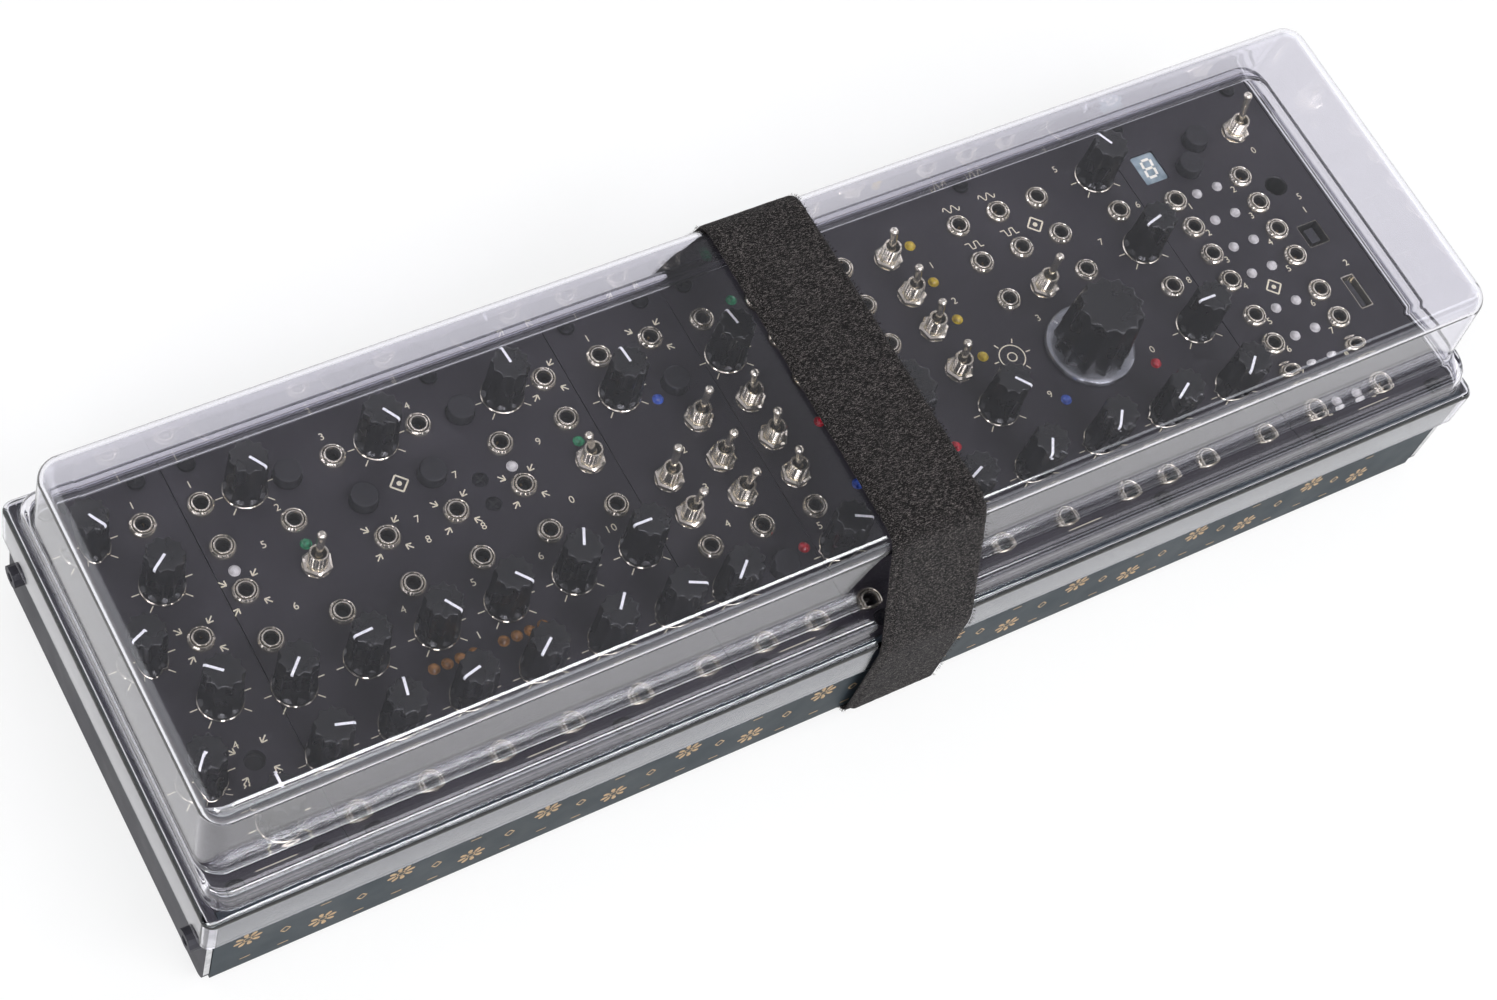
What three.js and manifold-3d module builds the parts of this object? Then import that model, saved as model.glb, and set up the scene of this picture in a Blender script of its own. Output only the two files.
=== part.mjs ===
// Modular synthesizer: a flat metal case with five front plates full of jacks, knobs, switches and
// buttons, a clear moulded cover over it and a textile strap round both.
// Millimetres, +Z up, +X to the right along the case. The origin is the centre of the ground under it.

import * as THREE from "three";
import { mergeVertices } from "three/addons/utils/BufferGeometryUtils.js";
import Module from "manifold-3d";

const wasm = await Module();
wasm.setup();

// Rack grid: one unit of width, and what the standard fixes for every front plate
const unitWidth = 5.08;
const plateHeight = 128.5;
const plateThickness = 2;
const plateGap = 0.3;
const screwInset = 3;
const firstScrewX = 7.5;

// Clearance between pieces that touch on the real product, and the overrun of every cut
const seatGap = 0.3;
const overrun = 0.5;
const weldTolerance = 1e-4;

// Sides of the round forms, from the smallest to the widest
const lampSides = 5;
const coarseSides = 6;
const nutSides = 8;
const fineSides = 10;
const screwSides = 14;

// Case: folded tray with two fixing rails, and an end cheek at each side
const footHeight = 3;
const footRadius = 7;
const footTaperShare = 0.86;
const footInset = 16;
const caseHeight = 44.5;
const trayWall = 2;
const plateEdgeGap = 0.5;
const railHeight = 23;
const frontRailDepth = 6.3;
const backRailDepth = 11;
const railSlotWidth = 2.6;
const railSlotDepth = 7;
const capScrewDrop = 21;
const frontCapScrewInset = 5;
const backCapScrewInset = 10;
const threadRadius = 1.6;
const cheekThickness = 2;
const cheekCornerRadius = 3.5;
const capScrewRadius = 3.5;
const capScrewHeight = 4;
const hexKeyRadius = 1.7;
const hexKeyDepth = 2;
const panScrewRadius = 2.7;
const panScrewHeight = 1.4;

// Boards behind the plates, and the parts that stand on them
const boardThickness = 1.6;
const boardDrop = 10;
const jackBodyWidth = 9;
const potBodyWidth = 9.6;
const switchBodyWidth = 7;
const switchBodyDepth = 12;
const buttonBodyWidth = 6.4;
const ribbonPlugWidth = 20;
const ribbonPlugDepth = 5;
const ribbonPlugHeight = 8;
const busBoardDepth = 70;
const busBoardEnd = 30;
const standoffHeight = 5;
const standoffRadius = 2.8;
const busPlugCount = 11;
const busPlugHeight = 7;

// Controls on the plates
const nutRadius = 3.9;
const nutHeight = 2;
const jackBoreRadius = 2.1;
const knobRadius = 6.4;
const knobTopRadius = 5.7;
const knobHeight = 18.4;
const knobEdge = 0.7;
const fluteDepth = 0.55;
const fluteCount = 10;
const dialRadius = 14.6;
const dialHeight = 2.4;
const dialEdge = 1;
const tuningKnobRadius = 12.6;
const tuningKnobTopRadius = 9.8;
const tuningKnobHeight = 24.7;
const tuningKnobEdge = 1;
const tuningFluteDepth = 0.8;
const tuningFluteCount = 12;
const buttonRadius = 4.1;
const buttonHeight = 4;
const buttonEdge = 0.4;
const hexNutAcross = 8;
const bushingRadius = 3;
const bushingHeight = 7.6;
const bushingBoreRadius = 2.5;
const leverPivotHeight = 5.8;
const leverBallRadius = 1.3;
const leverNeckRadius = 0.8;
const leverTipRadius = 1.5;
const leverLength = 13;
const trimmerRadius = 2.5;
const trimmerDepth = 1;
const trimmerSlotWidth = 0.7;
const trimmerSlotLengthShare = 0.7;
const trimmerSlotDepthShare = 0.5;
const lampRadius = 1.5;
const lampHeight = 1;

// Sockets and the one-digit display of the interface plate
const socketWall = 1.4;
const powerBoreRadius = 3.9;
const powerPinRadius = 1;
const squareSocketWidth = 8.4;
const squareSocketDepth = 9;
const flatSocketWidth = 5.2;
const flatSocketDepth = 13;
const socketTongueDrop = 7;
const socketTongueWidth = 1.6;
const squareTongueShare = 0.5;
const flatTongueShare = 0.8;
const displayWidth = 8.6;
const displayDepth = 11;
const displayCornerRadius = 1;
const displayDrop = 0.3;
const displaySteps = 2;

// Cover: a thin moulding, seated on the top edge of the case
const coverWall = 1.5;
const coverFit = 0.7;
const coverSkirt = 15;
const coverDraft = 0.4;
const coverCornerRadius = 3.2;
const coverShelfCornerRadius = 7;
const coverStepInset = 2.6;
const coverShelfHeight = 9;
const coverShelfRadius = 3.6;
const coverTopHeight = 42;
const coverTopRadius = 6.5;
const coverFrontShelf = 8.2;
const coverBackLedge = 7;
const coverSideLedge = 0.5;
const coverWallDraft = 1.2;
const coverFootRadius = 1.8;
const coverPlateauRadius = 7;
const cornerSteps = 4;
const filletSteps = 3;

// Strap: one closed textile band
const strapWidth = 31.5;
const strapThickness = 1.5;
const strapX = 7.8;
const strapEdgeRadius = 3;
const strapSkirtRadius = 2;
const strapBendSteps = 4;

// Derived levels and lengths
const caseDepth = plateHeight + 2 * (plateEdgeGap + trayWall);
const plateTop = footHeight + caseHeight;
const plateBottom = plateTop - plateThickness;
const boardTop = plateBottom - boardDrop;
const bodyTop = plateBottom - seatGap;
const modules = makeModules();
const rackWidth = modules.reduce((sum, module) => sum + module.units * unitWidth, 0);
const cheekInside = rackWidth / 2 + plateGap / 2;
const cheekOutside = cheekInside + cheekThickness;
const trayHalfLength = cheekInside - seatGap;
const caseFront = -caseDepth / 2;
const caseBack = caseDepth / 2;
const frontRailEdge = caseFront + trayWall + frontRailDepth;
const backRailEdge = caseBack - trayWall - backRailDepth;
const capScrewZ = plateTop - capScrewDrop;
const capScrewYs = [caseFront + frontCapScrewInset, caseBack - backCapScrewInset];

// What each plate carries. Each place is a pair of shares: across the plate's own width from its left
// edge, then up its height from its front edge. A knob's third value is the angle of its pointer. A
// toggle's third and fourth values are its lever's lean from upright and the direction that it moves in.
function makeModules() {
  const mixerPlaceShares = {
    jack: [[0.711, 0.869], [0.714, 0.571]],
    bareJack: [[0.67, 0.272]],
    knob: [
      [0.308, 0.272, 225], [0.647, 0.722, 217], [0.647, 0.426, 140], [0.647, 0.134, 90],
    ],
    fixedKnob: [[0.308, 0.869, -60], [0.308, 0.572, 200]],
  };
  const sixColumnShares = [0.046, 0.224, 0.403, 0.582, 0.761, 0.94];
  const voicePlaceShares = {
    jack: [
      [0.046, 0.869], [0.38, 0.869], [0.603, 0.869], [0.94, 0.869],
      [0.046, 0.755], [0.224, 0.755], [0.761, 0.755], [0.94, 0.755],
      [0.046, 0.638], [0.403, 0.638], [0.582, 0.638], [0.761, 0.638],
      ...sixColumnShares.map((share) => [share, 0.511]),
      ...sixColumnShares.map((share) => [share, 0.0825]),
    ],
    knob: [
      ...[225, 184, -58, -52, 64, 180].map((angle, i) => [sixColumnShares[i], 0.393, angle]),
      ...[-17, 78, 194, 218, 50, -26].map((angle, i) => [sixColumnShares[i], 0.223, angle]),
    ],
    fixedKnob: [[0.157, 0.869, -58], [0.493, 0.869, -60], [0.828, 0.869, 95]],
    button: [[0.261, 0.864], [0.712, 0.864], [0.396, 0.743], [0.574, 0.743]],
    toggle: [[0.224, 0.638, 0, 0]],
    fixedToggle: [[0.94, 0.638, -17, 0]],
    trimmer: [[0.6735, 0.691], [0.6735, 0.624]],
    lamp: [
      [0.046, 0.694], [0.224, 0.694], [0.76, 0.694], [0.94, 0.694],
      [0.352, 0.311], [0.386, 0.311], [0.42, 0.311], [0.4545, 0.311],
      [0.531, 0.311], [0.565, 0.311], [0.599, 0.311], [0.633, 0.311],
    ],
  };
  const slopePlaceShares = {
    jack: [
      [0.288, 0.874], [0.719, 0.874], [0.288, 0.334], [0.719, 0.334], [0.288, 0.082], [0.719, 0.082],
    ],
    knob: [[0.285, 0.2195, 223]],
    fixedKnob: [[0.288, 0.769, 96]],
    button: [[0.711, 0.745], [0.719, 0.226]],
    toggle: [[0.277, 0.525, 4, 90], [0.711, 0.525, -5, 90]],
    fixedToggle: [[0.277, 0.424, -8, 90], [0.711, 0.424, -9, 90], [0.719, 0.638, 0, 90]],
    lamp: [[0.527, 0.722], [0.923, 0.2505]],
  };
  const oscillatorPlaceShares = {
    jack: [
      [0.04, 0.874], [0.04, 0.3315], [0.04, 0.0825],
      [0.16, 0.872], [0.253, 0.872], [0.347, 0.872], [0.615, 0.872], [0.708, 0.872], [0.8, 0.872],
      [0.16, 0.758], [0.253, 0.758], [0.347, 0.758], [0.615, 0.758], [0.708, 0.758], [0.8, 0.758],
      [0.16, 0.641], [0.347, 0.641], [0.62, 0.641], [0.803, 0.641], [0.942, 0.7595], [0.946, 0.517],
      [0.332, 0.0825], [0.474, 0.0825], [0.617, 0.0825], [0.709, 0.0825], [0.8, 0.0825], [0.94, 0.0825],
    ],
    knob: [
      [0.045, 0.7665, 100], [0.045, 0.222, -28], [0.474, 0.391, -54], [0.4715, 0.2165, 237],
      [0.6285, 0.2165, 232], [0.9395, 0.2165, 223], [0.942, 0.6475, 194], [0.942, 0.4, 180],
    ],
    fixedKnob: [[0.315, 0.2165, 203], [0.782, 0.2165, 211], [0.942, 0.8755, 116]],
    tuningKnob: [[0.248, 0.451, 58], [0.7135, 0.451, 122]],
    toggle: [[0.445, 0.856, -13, 0], [0.445, 0.743, -11, 0], [0.445, 0.638, -9, 0], [0.445, 0.5175, -10, 0]],
    fixedToggle: [
      [0.703, 0.641, 0, 0], [0.257, 0.641, 0, 0], [0.04, 0.638, -12, 0], [0.04, 0.529, -12, 0],
      [0.04, 0.4225, -14, 0],
    ],
    lamp: [
      [0.503, 0.869], [0.503, 0.756], [0.503, 0.642], [0.506, 0.528], [0.115, 0.8965],
      [0.139, 0.524], [0.139, 0.3455], [0.354, 0.341], [0.608, 0.347], [0.8195, 0.3485],
    ],
  };
  const rowOfFourShares = [0.731, 0.646, 0.56, 0.476];
  const rowOfThreeShares = [0.366, 0.28, 0.2015, 0.0935];
  const interfacePlaceShares = {
    jack: [...rowOfFourShares, ...rowOfThreeShares].flatMap((up) => [[0.176, up], [0.609, up]]),
    lamp: [...rowOfFourShares, ...rowOfThreeShares].flatMap((up) => [[0.324, up], [0.4565, up]]),
    button: [[0.501, 0.871], [0.373, 0.807]],
    toggle: [[0.75, 0.856, 13, 90]],
    display: [[0.168, 0.845]],
    power: [[0.777, 0.677]],
    squareSocket: [[0.796, 0.516]],
    flatSocket: [[0.814, 0.329]],
  };
  return [
    { name: "mixer", units: 8, screwUnits: [0, 5], placeShares: mixerPlaceShares },
    { name: "voice", units: 24, screwUnits: [0, 15], placeShares: voicePlaceShares },
    { name: "slope", units: 8, screwUnits: [0, 5], placeShares: slopePlaceShares },
    { name: "oscillator", units: 32, screwUnits: [0, 20], placeShares: oscillatorPlaceShares },
    { name: "interface", units: 12, screwUnits: [0, 9], placeShares: interfacePlaceShares },
  ];
}

// Closed geometry to solid and back; solids are only joined and cut
function toSolid(geometry) {
  const bare = geometry.index ? geometry.toNonIndexed() : geometry.clone();
  bare.deleteAttribute("normal");
  bare.deleteAttribute("uv");
  const merged = mergeVertices(bare, weldTolerance);
  return new wasm.Manifold(new wasm.Mesh({
    numProp: 3,
    vertProperties: merged.attributes.position.array,
    triVerts: new Uint32Array(merged.index.array),
  }));
}

function toGeometry(solid) {
  const mesh = solid.getMesh();
  const geometry = new THREE.BufferGeometry();
  geometry.setAttribute("position", new THREE.BufferAttribute(Float32Array.from(mesh.vertProperties), 3));
  geometry.setIndex(new THREE.BufferAttribute(Uint32Array.from(mesh.triVerts), 1));
  const flat = geometry.toNonIndexed();
  flat.computeVertexNormals();
  return flat;
}

function joinAll(geometries) {
  return geometries.map(toSolid).reduce((whole, piece) => whole.add(piece));
}

function cutAll(solid, geometries) {
  return geometries.length ? solid.subtract(joinAll(geometries)) : solid;
}

// Box between two corners
function block(x0, x1, y0, y1, z0, z1) {
  const box = new THREE.BoxGeometry(x1 - x0, y1 - y0, z1 - z0);
  return box.translate((x0 + x1) / 2, (y0 + y1) / 2, (z0 + z1) / 2);
}

// Box centred on a place, between two levels
function blockAt([x, y], width, depth, z0, z1) {
  return block(x - width / 2, x + width / 2, y - depth / 2, y + depth / 2, z0, z1);
}

// Upright prism of some sides, or a cone where its top radius differs
function prism([x, y], radius, z0, z1, sides, topRadius = radius) {
  const shape = new THREE.CylinderGeometry(topRadius, radius, z1 - z0, sides);
  return shape.rotateX(Math.PI / 2).rotateZ(Math.PI / sides).translate(x, y, (z0 + z1) / 2);
}

// Level rod along X, centred on a point
function rod([x, y, z], radius, length, sides) {
  return new THREE.CylinderGeometry(radius, radius, length, sides).rotateZ(Math.PI / 2).translate(x, y, z);
}

// Rings of equal point counts, stacked into one closed surface with flat ends
function loft(rings) {
  const count = rings[0].length;
  const points = rings.flat();
  const indices = [];
  for (let ring = 0; ring + 1 < rings.length; ring++) {
    for (let i = 0; i < count; i++) {
      const a = ring * count + i;
      const b = ring * count + (i + 1) % count;
      indices.push(a, b, b + count, a, b + count, a + count);
    }
  }
  const flatRing = (ring) => ring.map((point) => new THREE.Vector2(point.x, point.y));
  const last = (rings.length - 1) * count;
  for (const [a, b, c] of THREE.ShapeUtils.triangulateShape(flatRing(rings[0]), [])) {
    indices.push(a, c, b);
  }
  for (const [a, b, c] of THREE.ShapeUtils.triangulateShape(flatRing(rings[rings.length - 1]), [])) {
    indices.push(last + a, last + b, last + c);
  }
  const geometry = new THREE.BufferGeometry().setFromPoints(points);
  geometry.setIndex(indices);
  return geometry;
}

function addMesh(parent, name, geometry, material) {
  const mesh = new THREE.Mesh(geometry, material);
  mesh.name = name;
  parent.add(mesh);
  return mesh;
}

function finish(color, roughness, metalness) {
  return new THREE.MeshStandardMaterial({ color, roughness, metalness });
}

const plateBlack = finish(0x3b3b40, 0.6, 0.3);
const caseGrey = finish(0x4a5356, 0.55, 0.5);
const cheekGrey = finish(0x5c5c62, 0.5, 0.5);
const boardGreen = finish(0x1d3b2c, 0.6, 0);
const knobBlack = finish(0x17171a, 0.45, 0);
const dialMetal = finish(0xb9babd, 0.3, 1);
const leverMetal = finish(0xc6c7ca, 0.25, 1);
const buttonBlack = finish(0x1b1b1f, 0.5, 0);
const displayBlue = finish(0xcfe6f2, 0.2, 0);
const coverClear = new THREE.MeshStandardMaterial({
  color: 0xb9b4bd, roughness: 0.08, metalness: 0, transparent: true, opacity: 0.3,
});
const strapCloth = finish(0x1f1b1b, 0.95, 0);

const synthesizer = new THREE.Group();

// Tray: front wall, floor and back wall in one profile, with a slotted rail inside each long wall
function makeTray() {
  const wallInside = caseBack - trayWall;
  const floorTop = footHeight + trayWall;
  const railTop = plateBottom - seatGap;
  const railBottom = railTop - railHeight;
  const slotFloor = railTop - railSlotDepth;
  const screwLine = plateHeight / 2 - screwInset;
  const outline = [
    [caseFront, footHeight], [caseBack, footHeight], [caseBack, plateTop], [wallInside, plateTop],
    [wallInside, railTop],
    [screwLine + railSlotWidth / 2, railTop], [screwLine + railSlotWidth / 2, slotFloor],
    [screwLine - railSlotWidth / 2, slotFloor], [screwLine - railSlotWidth / 2, railTop],
    [backRailEdge, railTop], [backRailEdge, railBottom], [wallInside, railBottom],
    [wallInside, floorTop], [-wallInside, floorTop],
    [-wallInside, railBottom], [frontRailEdge, railBottom], [frontRailEdge, railTop],
    [-screwLine + railSlotWidth / 2, railTop], [-screwLine + railSlotWidth / 2, slotFloor],
    [-screwLine - railSlotWidth / 2, slotFloor], [-screwLine - railSlotWidth / 2, railTop],
    [-wallInside, railTop], [-wallInside, plateTop], [caseFront, plateTop],
  ];
  const profile = new THREE.Shape(outline.map(([y, z]) => new THREE.Vector2(y, z)));
  const long = new THREE.ExtrudeGeometry(profile, { depth: 2 * trayHalfLength, bevelEnabled: false });
  // The profile is drawn in Y and Z, and runs along X
  long.rotateX(Math.PI / 2).rotateZ(Math.PI / 2).translate(-trayHalfLength, 0, 0);
  const threads = [-1, 1].flatMap((side) => capScrewYs.map((y) => (
    rod([side * trayHalfLength, y, capScrewZ], threadRadius, capScrewDrop, coarseSides)
  )));
  const feet = [-1, 1].flatMap((sideX) => [-1, 1].map((sideY) => {
    const place = [sideX * (trayHalfLength - footInset), sideY * (caseBack - footInset)];
    return prism(place, footRadius * footTaperShare, 0, footHeight + overrun, fineSides, footRadius);
  }));
  return toGeometry(cutAll(toSolid(long), threads).add(joinAll(feet)));
}

// End cheek with rounded lower corners and two socket cap screws
function makeCheek(side) {
  const shape = new THREE.Shape();
  shape.moveTo(caseFront, plateTop);
  shape.lineTo(caseFront, footHeight + cheekCornerRadius);
  shape.absarc(caseFront + cheekCornerRadius, footHeight + cheekCornerRadius, cheekCornerRadius,
    Math.PI, 1.5 * Math.PI);
  shape.absarc(caseBack - cheekCornerRadius, footHeight + cheekCornerRadius, cheekCornerRadius,
    -Math.PI / 2, 0);
  shape.lineTo(caseBack, plateTop);
  const depth = cheekThickness;
  const sheet = new THREE.ExtrudeGeometry(shape, { depth, bevelEnabled: false, curveSegments: cornerSteps });
  sheet.rotateX(Math.PI / 2).rotateZ(Math.PI / 2);
  sheet.translate(side > 0 ? cheekInside : -cheekOutside, 0, 0);
  const middle = side * (cheekOutside + capScrewHeight / 2 - overrun / 2);
  const end = side * (cheekOutside + capScrewHeight);
  const head = (y) => rod([middle, y, capScrewZ], capScrewRadius, capScrewHeight + overrun, screwSides);
  const recess = (y) => rod([end, y, capScrewZ], hexKeyRadius, 2 * hexKeyDepth, coarseSides);
  const whole = toSolid(sheet).add(joinAll(capScrewYs.map(head)));
  return toGeometry(cutAll(whole, capScrewYs.map(recess)));
}

// Power distribution board on the case floor, on short standoffs, with a row of ribbon headers
function makeBusBoard() {
  const floorTop = footHeight + trayWall;
  const halfLength = trayHalfLength - busBoardEnd;
  const bottom = floorTop + seatGap + standoffHeight;
  const top = bottom + boardThickness;
  const pieces = [block(-halfLength, halfLength, -busBoardDepth / 2, busBoardDepth / 2, bottom, top)];
  const standoffX = halfLength - 2 * standoffRadius;
  const standoffY = busBoardDepth / 2 - 2 * standoffRadius;
  for (const sideX of [-1, 0, 1]) {
    for (const sideY of [-1, 1]) {
      const place = [sideX * standoffX, sideY * standoffY];
      pieces.push(prism(place, standoffRadius, floorTop + seatGap, bottom + overrun, coarseSides));
    }
  }
  const pitch = 2 * (halfLength - ribbonPlugWidth) / (busPlugCount - 1);
  for (let i = 0; i < busPlugCount; i++) {
    const place = [(i - (busPlugCount - 1) / 2) * pitch, 0];
    pieces.push(blockAt(place, ribbonPlugDepth, ribbonPlugWidth, top - overrun, top + busPlugHeight));
  }
  return toGeometry(joinAll(pieces));
}

// Knob body: a fluted, tapered column between two levels, with a softened top edge
function flutedRing([x, y], radius, depth, flutes, z) {
  const points = [];
  for (let i = 0; i < 2 * flutes; i++) {
    const angle = Math.PI * i / flutes;
    const reach = i % 2 ? radius - depth : radius;
    points.push(new THREE.Vector3(x + reach * Math.cos(angle), y + reach * Math.sin(angle), z));
  }
  return points;
}

function smallKnob(place) {
  const bottom = plateTop + seatGap;
  const top = bottom + knobHeight;
  return loft([
    flutedRing(place, knobRadius, fluteDepth / 2, fluteCount, bottom),
    flutedRing(place, knobTopRadius, fluteDepth, fluteCount, top - knobEdge),
    flutedRing(place, knobTopRadius - knobEdge, fluteDepth, fluteCount, top),
  ]);
}

function tuningKnob(place) {
  const bottom = plateTop + seatGap;
  const dialTop = bottom + dialHeight;
  const top = bottom + tuningKnobHeight;
  const dial = loft([
    flutedRing(place, dialRadius, 0, tuningFluteCount, bottom),
    flutedRing(place, dialRadius, 0, tuningFluteCount, dialTop - dialEdge),
    flutedRing(place, dialRadius - dialEdge, 0, tuningFluteCount, dialTop),
  ]);
  const grip = loft([
    flutedRing(place, tuningKnobRadius, tuningFluteDepth, tuningFluteCount, dialTop - overrun),
    flutedRing(place, tuningKnobTopRadius, tuningFluteDepth, tuningFluteCount, top - tuningKnobEdge),
    flutedRing(place, tuningKnobTopRadius - tuningKnobEdge, tuningFluteDepth, tuningFluteCount, top),
  ]);
  return toGeometry(joinAll([dial, grip]));
}

// Toggle lever: a pivot ball in the bushing's open top, a slim neck and a rounded bat tip
function toggleLever([x, y, lean, direction]) {
  const profile = [
    new THREE.Vector2(0, -leverBallRadius),
    new THREE.Vector2(leverBallRadius, 0),
    new THREE.Vector2(leverNeckRadius, leverBallRadius),
    new THREE.Vector2(leverTipRadius, leverLength - leverTipRadius),
    new THREE.Vector2(leverTipRadius / 2, leverLength),
    new THREE.Vector2(0, leverLength),
  ];
  const lever = new THREE.LatheGeometry(profile, coarseSides).rotateX(Math.PI / 2);
  lever.rotateY(THREE.MathUtils.degToRad(lean)).rotateZ(THREE.MathUtils.degToRad(direction));
  return toGeometry(toSolid(lever.translate(x, y, plateTop + leverPivotHeight)));
}

function pushButton(place) {
  const bottom = plateBottom + seatGap;
  const top = plateTop + buttonHeight;
  const shaft = prism(place, buttonRadius, bottom, top - buttonEdge, fineSides);
  const crown = prism(place, buttonRadius, top - buttonEdge, top, fineSides, buttonRadius - buttonEdge);
  return toGeometry(joinAll([shaft, crown]));
}

// Toggle bushing with its hexagon nut, raised from the plate, and open above the lever's ball
function toggleBushing(place) {
  const nutCorner = hexNutAcross / 2 / Math.cos(Math.PI / 6);
  const bottom = plateTop - overrun;
  const top = plateTop + bushingHeight;
  const boreFloor = plateTop + leverPivotHeight - leverBallRadius - seatGap;
  const tube = prism(place, bushingRadius, bottom, top, coarseSides);
  const bore = prism(place, bushingBoreRadius, boreFloor, top + overrun, coarseSides);
  return [
    prism(place, nutCorner, bottom, plateTop + nutHeight, coarseSides),
    toGeometry(cutAll(toSolid(tube), [bore])),
  ];
}

// One front plate with the nuts, bushings, lamps and screw heads that sit on it, cut for what passes through
function makePlate(module, left) {
  const width = module.units * unitWidth;
  const places = (kind) => placesOf(module, left, kind);
  const raised = [];
  const cuts = [];
  const nutTop = plateTop + nutHeight;
  for (const place of places("jack")) {
    raised.push(prism(place, nutRadius, plateTop - overrun, nutTop, nutSides));
  }
  for (const place of [...places("jack"), ...places("bareJack")]) {
    cuts.push(prism(place, jackBoreRadius, plateBottom - overrun, nutTop + overrun, coarseSides));
  }
  for (const place of [...places("toggle"), ...places("fixedToggle")]) raised.push(...toggleBushing(place));
  for (const place of places("fixedToggle")) {
    raised.push(toggleLever(place).translate(0, 0, -seatGap - overrun));
  }
  for (const place of places("fixedKnob")) {
    raised.push(smallKnob(place).translate(0, 0, -seatGap - overrun));
  }
  for (const place of places("lamp")) {
    raised.push(prism(place, lampRadius, plateTop - overrun, plateTop + lampHeight, lampSides));
  }
  for (const step of module.screwUnits) {
    for (const side of [-1, 1]) {
      const place = [left + firstScrewX + step * unitWidth, side * (plateHeight / 2 - screwInset)];
      raised.push(prism(place, panScrewRadius, plateTop - overrun, plateTop + panScrewHeight, coarseSides));
    }
  }
  for (const place of places("button")) {
    cuts.push(prism(place, buttonRadius + seatGap, plateBottom - overrun, plateTop + overrun, fineSides));
  }
  for (const place of places("trimmer")) {
    const slotFloor = plateTop - trimmerDepth * (1 + trimmerSlotDepthShare);
    cuts.push(prism(place, trimmerRadius, plateTop - trimmerDepth, plateTop + overrun, nutSides));
    const slotLength = 2 * trimmerRadius * trimmerSlotLengthShare;
    cuts.push(blockAt(place, trimmerSlotWidth, slotLength, slotFloor, plateTop));
  }
  const opening = (kind, openWidth, openDepth) => {
    for (const place of places(kind)) {
      cuts.push(blockAt(place, openWidth, openDepth, plateBottom - overrun, plateTop + overrun));
    }
  };
  for (const place of places("power")) {
    cuts.push(prism(place, powerBoreRadius, plateBottom - overrun, plateTop + overrun, fineSides));
  }
  opening("squareSocket", squareSocketWidth, squareSocketDepth);
  opening("flatSocket", flatSocketWidth, flatSocketDepth);
  opening("display", displayWidth + 2 * seatGap, displayDepth + 2 * seatGap);
  const plate = block(left + plateGap / 2, left + width - plateGap / 2, -plateHeight / 2, plateHeight / 2,
    plateBottom, plateTop);
  return toGeometry(cutAll(toSolid(plate).add(joinAll(raised)), cuts));
}

// The board behind a plate, with the body of each jack, pot and switch reaching up to the plate
function makeBoard(module, left) {
  const width = module.units * unitWidth;
  const places = (kind) => placesOf(module, left, kind);
  const bodies = [
    ["jack", jackBodyWidth, jackBodyWidth], ["bareJack", jackBodyWidth, jackBodyWidth],
    ["knob", potBodyWidth, potBodyWidth],
    ["fixedKnob", potBodyWidth, potBodyWidth], ["tuningKnob", potBodyWidth, potBodyWidth],
    ["toggle", switchBodyWidth, switchBodyDepth], ["fixedToggle", switchBodyWidth, switchBodyDepth],
    ["display", displayWidth, displayDepth],
  ];
  const edge = seatGap + plateGap;
  const front = frontRailEdge + seatGap;
  const back = backRailEdge - seatGap;
  const low = boardTop - overrun;
  const pieces = [block(left + edge, left + width - edge, front, back, boardTop - boardThickness, boardTop)];
  for (const [kind, bodyWidth, bodyDepth] of bodies) {
    for (const [x, y] of places(kind)) {
      const x0 = Math.max(x - bodyWidth / 2, left + edge);
      const x1 = Math.min(x + bodyWidth / 2, left + width - edge);
      const y0 = Math.max(y - bodyDepth / 2, front);
      const y1 = Math.min(y + bodyDepth / 2, back);
      pieces.push(block(x0, x1, y0, y1, low, bodyTop));
    }
  }
  for (const place of places("button")) {
    pieces.push(blockAt(place, buttonBodyWidth, buttonBodyWidth, low, bodyTop - plateThickness / 2));
  }
  pieces.push(blockAt([left + width / 2, 0], ribbonPlugDepth, ribbonPlugWidth,
    boardTop - boardThickness - ribbonPlugHeight, low));
  const shells = [];
  const hollows = [];
  const pins = [];
  const hollowFloor = boardTop + socketWall / 2;
  const pinTop = plateTop - socketTongueDrop;
  for (const place of places("power")) {
    const outside = 2 * (powerBoreRadius + socketWall);
    shells.push(blockAt(place, outside, outside, low, bodyTop));
    hollows.push(prism(place, powerBoreRadius, hollowFloor, bodyTop + overrun, fineSides));
    pins.push(prism(place, powerPinRadius, low, pinTop, coarseSides));
  }
  const boxSocket = (kind, insideWidth, insideDepth, tongueDepth) => {
    for (const place of places(kind)) {
      shells.push(blockAt(place, insideWidth + 2 * socketWall, insideDepth + 2 * socketWall, low, bodyTop));
      hollows.push(blockAt(place, insideWidth, insideDepth, hollowFloor, bodyTop + overrun));
      pins.push(blockAt(place, socketTongueWidth, tongueDepth, low, pinTop));
    }
  };
  boxSocket("squareSocket", squareSocketWidth, squareSocketDepth, squareSocketDepth * squareTongueShare);
  boxSocket("flatSocket", flatSocketWidth, flatSocketDepth, flatSocketDepth * flatTongueShare);
  let board = joinAll([...pieces, ...shells]);
  board = cutAll(board, hollows);
  return toGeometry(pins.length ? board.add(joinAll(pins)) : board);
}

function placesOf(module, left, kind) {
  const width = module.units * unitWidth;
  const shares = module.placeShares[kind] ?? [];
  return shares.map(([across, up, ...angles]) => (
    [left + across * width, up * plateHeight - plateHeight / 2, ...angles]
  ));
}

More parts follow.
